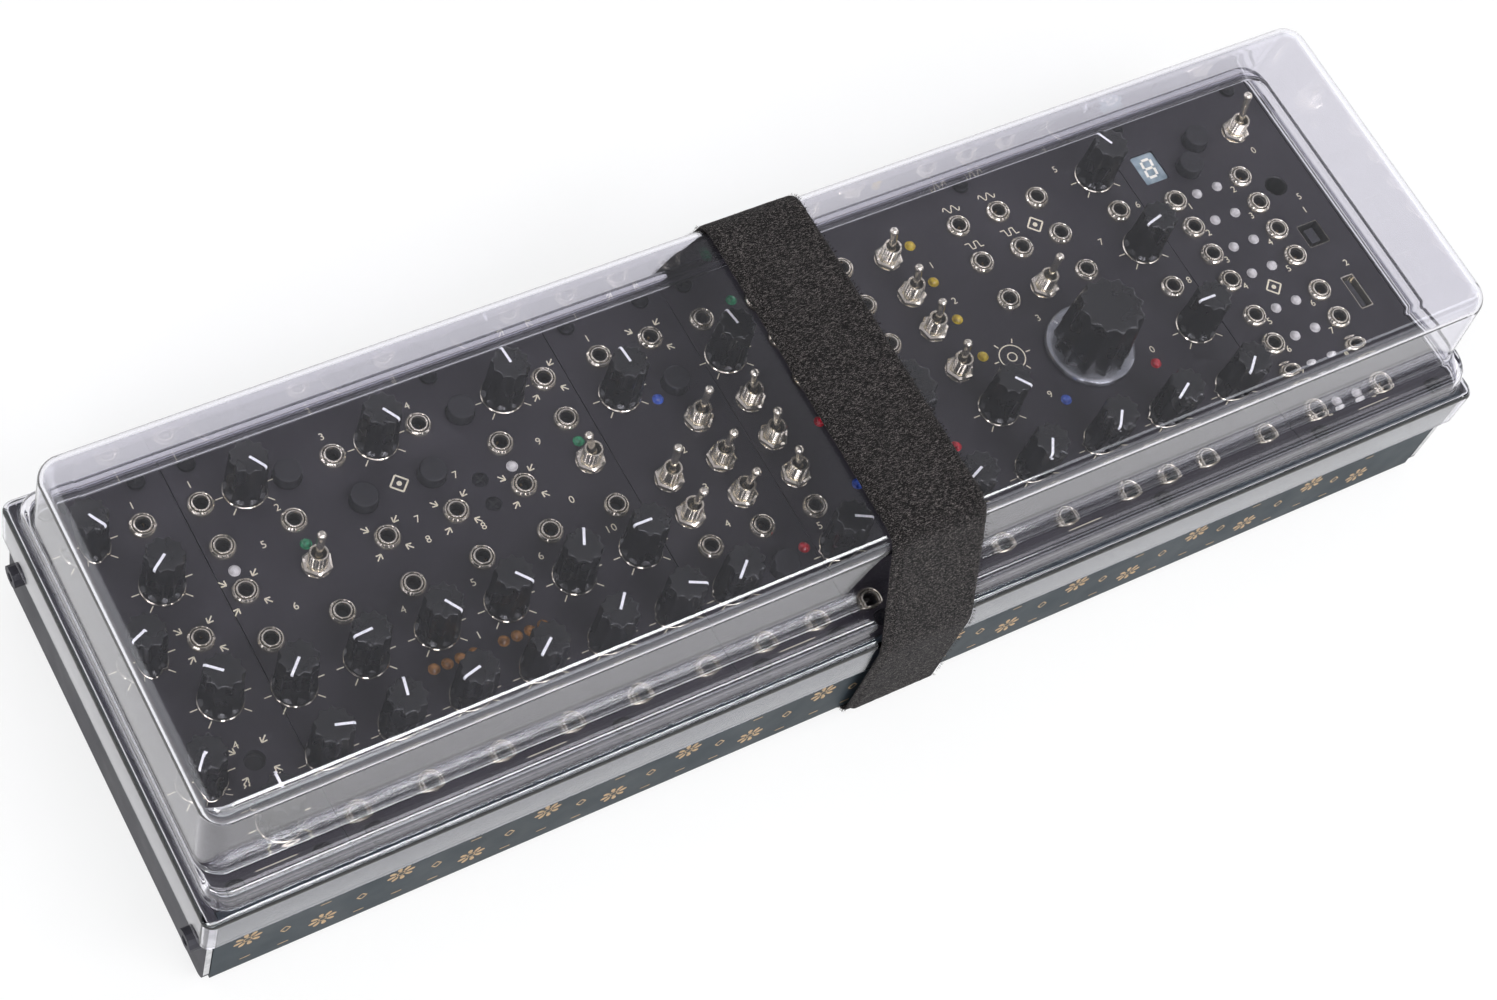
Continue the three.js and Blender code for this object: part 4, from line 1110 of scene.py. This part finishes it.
def makeDisplay():
    d = display
    shape = Shape()
    x, y = spot("interface", *plates["interface"]["display"][0])
    top = rack["plateTop"] - d["sunk"]
    rings = []
    for z, inset in (
        (rack["plateTop"] - rack["plateThickness"], 0), (top - d["bevel"][0], 0), (top, d["bevel"][1]),
    ):
        outline = boxOutline(0, 0, d["width"] - 2 * inset, d["depth"] - 2 * inset, d["corner"], 6)
        rings.append(atHeight(outline, z))
    shape.stamp(loft(rings), x, y)
    w, h = d["digitWidth"] / 2, d["digitHeight"] / 2
    for x0, y0, x1, y1 in (
        (-w, h, w, h), (w, h, w, 0), (w, 0, w, -h), (-w, -h, w, -h),
        (-w, 0, -w, -h), (-w, h, -w, 0), (-w, 0, w, 0),
    ):
        path = []
        for share in (d["segmentGap"], 1 - d["segmentGap"]):
            px, py = x0 + (x1 - x0) * share, y0 + (y1 - y0) * share
            path.append((px + d["slant"] * py, py))
        shape.stamp(flatStroke(path, d["segment"], top + d["segmentLift"], 1), x, y)
    makePiece("window_display", shape, ["display", "segment"], replaced="display")


makeSockets()
makeDisplay()
print("stage: sockets and display made")


# Cover: a thin moulding with a skirt, a step, a low shelf and a high top
cover = {
    "wall": 1.5,
    "skirtX": 217.71,
    "skirtY": 68.95,
    "rim": 32.5,
    "step": 49.3,
    "stepInset": 2.6,
    "innerFillet": 0.5,
    "root": 0.7,
    "shelf": 56.5,
    "shelfRadius": 3.6,
    "top": 89.5,
    "topRadius": 6.5,
    "frontShelf": 8.2,
    "backLedge": 7.0,
    "sideLedge": 0.5,
    "draft": 0.4,
    "wallDraft": 1.2,
    "footRadius": 1.8,
    "skirtCorner": 3.2,
    "shelfCorner": 7.0,
    "plateauCorner": 7.0,
    "fillet": 8,
    "cornerSteps": 14,
}


def coverRing(x, front, back, radius, z):
    points = []
    for sx, y, quarter in ((1, back, 0), (-1, back, 1), (-1, front, 2), (1, front, 3)):
        centreX = sx * (x - radius)
        centreY = y - radius if y == back else y + radius
        for i in range(cover["cornerSteps"] + 1):
            turn = (quarter + i / cover["cornerSteps"]) * math.pi / 2
            points.append((centreX + radius * math.cos(turn), centreY + radius * math.sin(turn), z))
    return points


# Rings of the cover's skin from the rim to the top, moved inward by an inset
def coverRings(inset):
    c = cover
    skirtX, skirtY = c["skirtX"] - inset, c["skirtY"] - inset
    stepZ, shelfZ, topZ = [c[name] - inset for name in ("step", "shelf", "top")]
    skirtCorner, shelfCorner, plateauCorner = [
        c[name] - inset for name in ("skirtCorner", "shelfCorner", "plateauCorner")
    ]
    midX, midY = skirtX - c["stepInset"], skirtY - c["stepInset"]
    rings = [coverRing(skirtX, -skirtY, skirtY, skirtCorner, c["rim"])]
    fillet = c["stepInset"] if inset == 0 else c["innerFillet"]
    for cos, sin in quarterTurn(c["fillet"]):
        inward = fillet * (1 - cos)
        corner = skirtCorner + (shelfCorner - skirtCorner) * inward / c["stepInset"]
        rings.append(coverRing(
            skirtX - inward, -skirtY + inward, skirtY - inward, corner, stepZ - fillet + fillet * sin
        ))
    # Small concave root where the step meets the second wall
    for cos, sin in quarterTurn(4):
        out = c["root"] * (1 - sin)
        z = stepZ + c["root"] * (1 - cos)
        rings.append(coverRing(midX + out, -midY - out, midY + out, shelfCorner, z))
    fillet = c["shelfRadius"] - inset / 2
    for cos, sin in quarterTurn(c["fillet"]):
        inward = c["shelfRadius"] * (1 - cos)
        rings.append(coverRing(
            midX - c["sideLedge"] * (1 - cos), -midY + c["draft"] + inward, midY - c["draft"] - inward,
            shelfCorner, shelfZ - fillet + fillet * sin,
        ))
    front, back = -midY + c["frontShelf"], midY - c["backLedge"]
    for cos, sin in quarterTurn(5):
        out = c["footRadius"] * (1 - sin)
        rings.append(coverRing(
            midX - c["sideLedge"] * (1 + sin), front - out, back + out,
            shelfCorner + (plateauCorner - shelfCorner) * sin, shelfZ + c["footRadius"] * (1 - cos),
        ))
    fillet = c["topRadius"] - inset
    for cos, sin in quarterTurn(c["fillet"]):
        inward = fillet * (1 - cos)
        rings.append(coverRing(
            midX - 3 * c["sideLedge"] - inward, front + c["wallDraft"] + inward,
            back - c["wallDraft"] - inward, plateauCorner - inward / 2, topZ - fillet + fillet * sin,
        ))
    return rings


def makeCover():
    shape = loft(coverRings(0), capLow=False)
    inner = loft(coverRings(cover["wall"]), capLow=False)
    inner.faces = [tuple(reversed(face)) for face in inner.faces]
    start = len(shape.points)
    shape.stamp(inner)
    # The rim joins the two skins
    count = 4 * (cover["cornerSteps"] + 1)
    for i in range(count):
        j = (i + 1) % count
        shape.faces.append((i, start + i, start + j, j))
        shape.slots.append(0)
    makePiece("clearCover", shape, ["cover"], body="cover", replaced="cover", smoothAngle=50)


makeCover()
print("stage: cover made")


# Strap: one webbing band round case and cover, its upper end lapped over its lower one, with fuzzy edges
strap = {
    "x": 7.8,
    "width": 31.5,
    "single": 0.95,
    "lapped": 1.6,
    "lapEnd": 41.0,
    "lapInset": 2.4,
    "lapCorner": 9.0,
    "lapSlope": 0.6,
    "lapDrop": 12,
    "skirtRadius": 22.0,
    "skirtLift": 0.35,
    "skirtDropShare": 0.22,
    "edgeRadius": 2.6,
    "lowerY": 68.3,
    "caseFloor": 3.0,
    "bendSteps": 12,
    "step": 1.2,
    "across": 56,
    "selvedge": 0.94,
    "pinch": 0.35,
    "underPinch": 0.6,
    "unevenness": 0.14,
    "unevenScale": (0.5, 1.1),  # across the strap and along it
    "waviness": 0.25,
    "wavyScale": (0.7, 3),  # along the strap and from edge to edge
    "fibres": 2600,
    "edgeFibres": 0.6,
    "fibreWidth": 0.13,
    "fibreLength": (0.5, 0.85),
    "fibreRoot": 0.3,
    "fibreRootShare": 0.9,
    "edgeReach": (0.4, 1.1),
    "faceRise": 0.9,
    "strayAcross": 0.6,
    "strayAlong": 0.8,
    "seed": 7,
}


# Angle of the outward normal of the line that touches two circles, going up from the lower one
def touchingAngle(low, lowRadius, high, highRadius):
    span = high - low
    return math.atan2(span.y, span.x) - math.acos((lowRadius - highRadius) / span.length)


# The strap's line as (y, z, outward y, outward z): bends round case edge, skirt and top, front and back
def strapPath():
    gap = rack["seat"]
    s = strap
    skirtY = cover["skirtY"] + gap + s["skirtLift"]
    half = []
    for side, ledge in ((1, cover["backLedge"]), (-1, cover["frontShelf"])):
        lower = Vector((s["lowerY"] - s["edgeRadius"], s["caseFloor"] - gap + s["edgeRadius"]))
        skirt = Vector((skirtY - s["skirtRadius"], rack["plateTop"] - s["skirtRadius"] * s["skirtDropShare"]))
        top = Vector((
            cover["skirtY"] - cover["stepInset"] - ledge - cover["wallDraft"] - cover["topRadius"],
            cover["top"] - cover["topRadius"],
        ))
        topRadius = cover["topRadius"] + gap
        first = touchingAngle(lower, s["edgeRadius"], skirt, s["skirtRadius"])
        second = touchingAngle(skirt, s["skirtRadius"], top, topRadius)
        points = []
        for centre, radius, start, end in (
            (lower, s["edgeRadius"], -math.pi / 2, first), (skirt, s["skirtRadius"], first, second),
            (top, topRadius, second, math.pi / 2),
        ):
            for i in range(s["bendSteps"] + 1):
                turn = start + (end - start) * i / s["bendSteps"]
                out, up = math.cos(turn), math.sin(turn)
                points.append((side * (centre.x + radius * out), centre.y + radius * up, side * out, up))
        half.append(points)
    return half[0] + half[1][::-1]


def strapSamples():
    corners = strapPath()
    samples = []
    for (y0, z0, ny0, nz0), (y1, z1, ny1, nz1) in zip(corners, corners[1:] + corners[:1]):
        pieces = max(1, round(math.hypot(y1 - y0, z1 - z0) / strap["step"]))
        for i in range(pieces):
            t = i / pieces
            ny, nz = ny0 + (ny1 - ny0) * t, nz0 + (nz1 - nz0) * t
            size = math.hypot(ny, nz)
            samples.append((y0 + (y1 - y0) * t, z0 + (z1 - z0) * t, ny / size, nz / size))
    return samples


# How much of the lapped layer lies at a point: 1 under it, 0 beside it, with a rounded end
def lapAt(x, y, z):
    if z < cover["top"] - strap["lapDrop"] and y > 0:
        return 0.0
    corner = strap["lapCorner"]
    dx = max(0.0, strap["x"] - strap["width"] / 2 + strap["lapInset"] + corner - x)
    dy = max(0.0, y - (strap["lapEnd"] - corner))
    return min(1.0, max(0.0, (corner - math.hypot(dx, dy)) / strap["lapSlope"]))


# A point of the webbing, t from -1 to 1 across it, layer 0 on the cover and 1 outside
def strapPoint(x, t, sample, layer):
    y, z, ny, nz = sample
    thickness = strap["single"] + (strap["lapped"] - strap["single"]) * lapAt(x, y, z)
    pinch = strap["pinch"] * max(0.0, abs(t) - strap["selvedge"]) / (1 - strap["selvedge"])
    lift = thickness * (layer * (1 - pinch) + (1 - layer) * pinch * strap["underPinch"])
    if layer:
        across, along = strap["unevenScale"]
        level = noise.noise(Vector((x * across, y * along, z * along)))
        lift -= strap["unevenness"] * (0.5 + 0.5 * level)
    edge = 0.0
    if abs(t) > 0.999:
        along, across = strap["wavyScale"]
        edge = strap["waviness"] * noise.noise(Vector((y * along, z * along, t * across)))
    return x + edge, y + ny * lift, z + nz * lift


def makeStrap():
    samples = strapSamples()
    across = strap["across"]
    shape = Shape()
    rows = []
    for sample in samples:
        ring = []
        for layer, order in ((0, range(across + 1)), (1, range(across, -1, -1))):
            for i in order:
                t = i / across * 2 - 1
                ring.append(strapPoint(strap["x"] + t * strap["width"] / 2, t, sample, layer))
        rows.append(ring)
    count = len(rows[0])
    faces = []
    for r in range(len(rows)):
        s = (r + 1) % len(rows)
        for i in range(count):
            j = (i + 1) % count
            faces.append((r * count + i, s * count + i, s * count + j, r * count + j))
    shape.add([point for row in rows for point in row], faces)
    # Loose fibres: most stand out from the two edges, the rest from the face
    chance = random.Random(strap["seed"])
    for i in range(strap["fibres"]):
        sample = samples[chance.randrange(len(samples))]
        ny, nz = sample[2:]
        edge = chance.choice((-1, 1)) if chance.random() < strap["edgeFibres"] else 0
        t = edge if edge else chance.uniform(-1, 1)
        x = strap["x"] + t * strap["width"] / 2
        base = Vector(strapPoint(x, t * strap["fibreRootShare"], sample, 1))
        base -= Vector((0, ny, nz)) * strap["fibreRoot"]
        if edge:
            along = Vector((edge * chance.uniform(*strap["edgeReach"]), ny, nz))
        else:
            along = Vector((0, ny * strap["faceRise"], nz * strap["faceRise"]))
        ways = ("strayAcross", "strayAlong", "strayAlong")
        stray = [chance.uniform(-strap[way], strap[way]) for way in ways]
        along += Vector((stray[0], -nz * stray[1], ny * stray[2]))
        tip = base + along * chance.uniform(*strap["fibreLength"])
        side = Vector((0, -nz, ny)) * strap["fibreWidth"]
        shape.add([base - side, base + side, tip], [(0, 1, 2)])
    piece = addObject("webbingStrap", makeMesh("webbingStrap", shape, ["strap"]))
    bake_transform(piece)
    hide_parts("strap")


makeStrap()
print("stage: strap made")


# Case: the tray, cheeks and boards keep their solids and get their finishes
boardTops = {"board": 35.4, "busBoard": 12.0}  # above these heights a board's solid shows the bodies on it
for finish, boardTop in boardTops.items():
    finishes[finish] = solderMask(boardTop)
for node, finish in (
    ("case_tray", "case"), ("cheek_left", "cheek"), ("cheek_right", "cheek"), ("bus_board", "busBoard"),
    *(("board_" + moduleName, "board") for moduleName in plates),
):
    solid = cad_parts[node].data
    solid.materials.clear()
    solid.materials.append(finishes[finish])

# Gold print on the case front: rosettes of plain petals in two staggered rows, with diamonds and dashes
frontPrint = {
    "front": -66.78,
    "reach": 203.0,
    "pitch": 23.0,
    "high": 21.5,
    "low": 12.0,
    "rosette": 4.3,
    "petals": 8,
    "petalPoints": 14,
    "petalReach": (0.68, 0.32),  # middle and half length, as shares of the rosette
    "petalWidth": (0.17, 0.05),  # half width, and how much wider the outer end is
    "heart": (1.15, 0.4),
    "turn": 0.2,
    "diamond": ([(1.5, 0), (0, 1.9), (-1.5, 0), (0, -1.9), (1.5, 0)], 0.5),
    "dash": ([(-1.6, 0), (1.6, 0)], 0.55),
    "dashDrop": 4.0,
    "dashRise": 2.0,
    "dashRow": 6.5,
}


def rosetteShape(p):
    shape = Shape()
    outline = []
    middle, half = p["petalReach"]
    wide, wider = p["petalWidth"]
    for k in range(p["petalPoints"]):
        a = 2 * math.pi * k / p["petalPoints"]
        swell = wide + wider * math.cos(a)
        outline.append((p["rosette"] * (middle + half * math.cos(a)), p["rosette"] * swell * math.sin(a), 0))
    petal = Shape(outline, [range(len(outline))])
    for i in range(p["petals"]):
        shape.stamp(petal, turn=2 * math.pi * i / p["petals"])
    radius, width = p["heart"]
    shape.stamp(flatStroke(roundOutline(0, 0, radius, 24) + [(radius, 0)], width))
    return shape


def makeFrontPrint():
    p = frontPrint
    flat = Shape()
    rosette, diamond, dash = rosetteShape(p), flatStroke(*p["diamond"]), flatStroke(*p["dash"])
    count = int(2 * p["reach"] / p["pitch"])
    for i in range(count + 1):
        x = -p["reach"] + i * p["pitch"]
        flat.stamp(rosette, x, p["low"] if i % 2 else p["high"], turn=p["turn"])
        flat.stamp(dash, x, p["high"] + p["dashRise"] if i % 2 else p["low"] - p["dashDrop"])
        if i < count:
            flat.stamp(diamond, x + p["pitch"] / 2, (p["high"] + p["low"]) / 2)
            flat.stamp(dash, x + p["pitch"] / 2, p["dashRow"])
    shape = Shape([(x, p["front"], z) for x, z, level in flat.points], flat.faces)
    makePiece("frontPrint", shape, ["gold"])


# Bare sheared edges of the cheeks, seen as a bright line at the case front
cheekEdge = {"inside": 213.61, "outside": 215.36, "y": 66.78, "low": 7.0, "high": 47.2}


def makeCheekEdges():
    c = cheekEdge
    shape = Shape()
    for side in (-1, 1):
        left, right = sorted((side * c["inside"], side * c["outside"]))
        for y in (-c["y"], c["y"]):
            points = [(left, y, c["low"]), (right, y, c["low"]), (right, y, c["high"]), (left, y, c["high"])]
            shape.add(points if y < 0 else points[::-1], [(0, 1, 2, 3)])
    makePiece("cheekEdges", shape, ["edge"])


makeFrontPrint()
makeCheekEdges()
print("stage: case dressed")


# What rays find round the object. Matt surfaces under the cover find an even sky, brighter low down.
# Reflections find white low down, bright and dim panels by turns, a dim ceiling, and two long strips in
# front, which draw white lines along the cover's bends and glints on the metal.
studioSky = {
    "panels": 3.0,
    "panelTurn": 0.6,
    "panelEdge": 0.3,
    "dim": 0.1,
    "bright": 1.5,
    "low": (0.16, 0.06),
    "high": (0.52, 0.66),
    "ceiling": 0.15,
    "ceilingUnder": 0.5,
    "under": (0.32, 0.9),
    "strips": ((0.9, 0.12, 6.0), (0.29, 0.09, 5.0)),  # rise in radians, half width, power
    "stripFade": (0.22, 0.5, 1.0, 0.35),
    "tintUnder": (1.0, 1.0, 1.0),
    "tint": (0.93, 0.98, 1.05),
    "ambient": (0.5, 0.51, 0.53, 1),
}


# The sky as rays under the cover find it, and as the cover's own reflections find it
def studioPanels(tree):
    sky = studioSky
    direction = addNode(tree, "ShaderNodeTexCoord").outputs["Generated"]
    x, y, z = addNode(tree, "ShaderNodeSeparateXYZ", links={"Vector": direction}).outputs
    around = addNode(tree, "ShaderNodeMath", links={0: y, 1: x}, operation="ARCTAN2")
    turned = addNode(
        tree, "ShaderNodeMath", {1: sky["panels"], 2: sky["panelTurn"]}, {0: around}, operation="MULTIPLY_ADD"
    )
    wave = addNode(tree, "ShaderNodeMath", links={0: turned}, operation="SINE")
    edge = sky["panelEdge"]
    reach = {"From Min": -edge, "From Max": edge, "To Min": sky["dim"], "To Max": sky["bright"]}
    panels = addNode(tree, "ShaderNodeMapRange", reach, {"Value": wave})
    low, high = [
        addNode(tree, "ShaderNodeMapRange", {"From Min": start, "From Max": end}, {"Value": z})
        for start, end in (sky["low"], sky["high"])
    ]
    sides = addNode(tree, "ShaderNodeMix", {3: 1.0}, {0: low, 2: panels})
    onCover, onMetal = [
        addNode(tree, "ShaderNodeMix", {3: sky[ceiling]}, {0: high, 2: sides})
        for ceiling in ("ceiling", "ceilingUnder")
    ]
    reach = {"From Min": 0.5, "From Max": 0.0, "To Min": sky["under"][0], "To Max": sky["under"][1]}
    even = addNode(tree, "ShaderNodeMapRange", reach, {"Value": z})
    forward = addNode(tree, "ShaderNodeMath", {1: -1.0}, {0: y}, operation="MULTIPLY")
    rise = addNode(tree, "ShaderNodeMath", links={0: z, 1: forward}, operation="ARCTAN2")
    reach = dict(zip(("From Min", "From Max", "To Min", "To Max"), sky["stripFade"]))
    fade = addNode(tree, "ShaderNodeMapRange", reach, {"Value": x})
    for centre, half, power in sky["strips"]:
        strip = addNode(tree, "ShaderNodeMath", {1: centre, 2: half}, {0: rise}, operation="COMPARE")
        faint = addNode(tree, "ShaderNodeMath", links={0: strip, 1: fade}, operation="MULTIPLY")
        onCover, onMetal = [
            addNode(tree, "ShaderNodeMath", {1: power}, {0: faint, 2: total}, operation="MULTIPLY_ADD")
            for total in (onCover, onMetal)
        ]
    # Under the cover, only a ray that was mirrored and never scattered finds the panels and strips
    rays = addNode(tree, "ShaderNodeLightPath")
    glossy, diffuse = rays.outputs["Glossy Depth"], rays.outputs["Diffuse Depth"]
    mirrored = addNode(tree, "ShaderNodeMath", links={0: glossy, 1: diffuse}, operation="GREATER_THAN")
    unscattered = addNode(tree, "ShaderNodeMath", {1: 0.5}, {0: diffuse}, operation="LESS_THAN")
    clear = addNode(tree, "ShaderNodeMath", links={0: mirrored, 1: unscattered}, operation="MULTIPLY")
    under = addNode(tree, "ShaderNodeMix", links={0: clear, 2: even, 3: onMetal})
    return [
        addNode(tree, "ShaderNodeVectorMath", {0: sky[tint]}, {"Scale": level}, operation="SCALE")
        for tint, level in (("tintUnder", under), ("tint", onCover))
    ]


# Plain pale floor that keeps a light shadow and is white to the eye; half its width in metres
studioFloor = {"size": 6.0, "glowShare": 0.75}


def makeFloor():
    size = studioFloor["size"]
    corners = [(-size, -size, 0), (size, -size, 0), (size, size, 0), (-size, size, 0)]
    floorMesh = bpy.data.meshes.new("floor")
    floorMesh.from_pydata(corners, [], [(0, 1, 2, 3)])
    material = newMaterial("paleFloor", Roughness=0.9, Base_Color=colour("#f6f6f6"))
    tree = material.node_tree
    # A ray looks at the floor straight, through the cover or by a reflection
    rays = addNode(tree, "ShaderNodeLightPath").outputs
    looking = rays["Is Camera Ray"]
    for kind in ("Is Transmission Ray", "Is Glossy Ray"):
        looking = addNode(tree, "ShaderNodeMath", links={0: looking, 1: rays[kind]}, operation="MAXIMUM")
    share = addNode(tree, "ShaderNodeMath", {1: studioFloor["glowShare"]}, {0: looking}, operation="MULTIPLY")
    glow = addNode(tree, "ShaderNodeEmission", {"Color": (1, 1, 1, 1), "Strength": 1.0})
    mixed = addNode(tree, "ShaderNodeMixShader", links={0: share, 1: tree.nodes["Principled BSDF"], 2: glow})
    tree.links.new(mixed.outputs["Shader"], tree.nodes["Material Output"].inputs["Surface"])
    floorMesh.materials.append(material)
    addObject("floor", floorMesh)


# A background that is white to the eye and even to matt surfaces, with the studio's sky in reflections
def makeWorld():
    world = bpy.data.worlds.new("studio")
    bpy.context.scene.world = world
    world.use_nodes = True
    tree = world.node_tree
    rays = addNode(tree, "ShaderNodeLightPath").outputs
    inCover, onCover = studioPanels(tree)
    found = addNode(
        tree, "ShaderNodeMix", {6: studioSky["ambient"]}, {0: rays["Is Glossy Ray"], 7: onCover},
        data_type="RGBA",
    )
    found = addNode(
        tree, "ShaderNodeMix", links={0: rays["Is Transmission Ray"], 6: found.outputs[2], 7: inCover},
        data_type="RGBA",
    )
    found = addNode(
        tree, "ShaderNodeMix", {7: (1, 1, 1, 1)}, {0: rays["Is Camera Ray"], 6: found.outputs[2]},
        data_type="RGBA",
    )
    background = tree.nodes["Background"]
    tree.links.new(found.outputs[2], background.inputs["Color"])
    background.inputs["Strength"].default_value = 1.0


# Each lamp is a soft panel aimed at the object, with places and sizes in metres. One that only lights has no
# mirror image in the cover, and one that only glints lights nothing.
studioLamps = {
    "frontSoftbox": {"place": (0.3, -0.95, 1.25), "size": (1.0, 0.3), "power": 12, "does": "both"},
    "leftSpot": {"place": (-1.15, -0.75, 0.82), "size": (0.45, 0.3), "power": 8, "does": "both"},
    "backStrip": {"place": (-0.3, 1.5, 0.75), "size": (1.8, 0.25), "power": 10, "does": "light"},
    "sideStrip": {"place": (1.6, -0.2, 0.8), "size": (0.3, 1.1), "power": 7, "does": "light"},
    "frontGlint": {"place": (-0.3, -1.15, 0.95), "size": (1.2, 0.14), "power": 4, "does": "glint"},
}
lampAim = (0, 0, 0.05)


def makeLamps():
    for name, lamp in studioLamps.items():
        data = bpy.data.lights.new(name, "AREA")
        data.shape = "RECTANGLE"
        data.size, data.size_y = lamp["size"]
        data.energy = lamp["power"]
        holder = addObject(name, data)
        holder.location = lamp["place"]
        holder.visible_transmission = False  # light reaches under the cover by its shadow rays alone
        holder.visible_diffuse = lamp["does"] != "glint"
        holder.visible_glossy = lamp["does"] != "light"
        aim = Vector(lampAim) - Vector(lamp["place"])
        holder.rotation_euler = aim.to_track_quat("-Z", "Y").to_euler()


# Camera at the photograph's angle, worked out from the plates' grid; place in metres, lens and sensor in mm
camera = {"place": (-0.3703, -0.3127, 0.8003), "turn": (29.40, -11.92, -29.16), "lens": 72.5, "sensor": 36.0}


def makeCamera():
    data = bpy.data.cameras.new("studioCamera")
    data.lens = camera["lens"]
    data.sensor_width = camera["sensor"]
    holder = addObject("studioCamera", data)
    holder.location = camera["place"]
    holder.rotation_euler = [math.radians(angle) for angle in camera["turn"]]
    bpy.context.scene.camera = holder


makeFloor()
makeWorld()
makeLamps()
makeCamera()
bpy.context.scene.view_settings.view_transform = "Standard"
print("stage: studio ready")
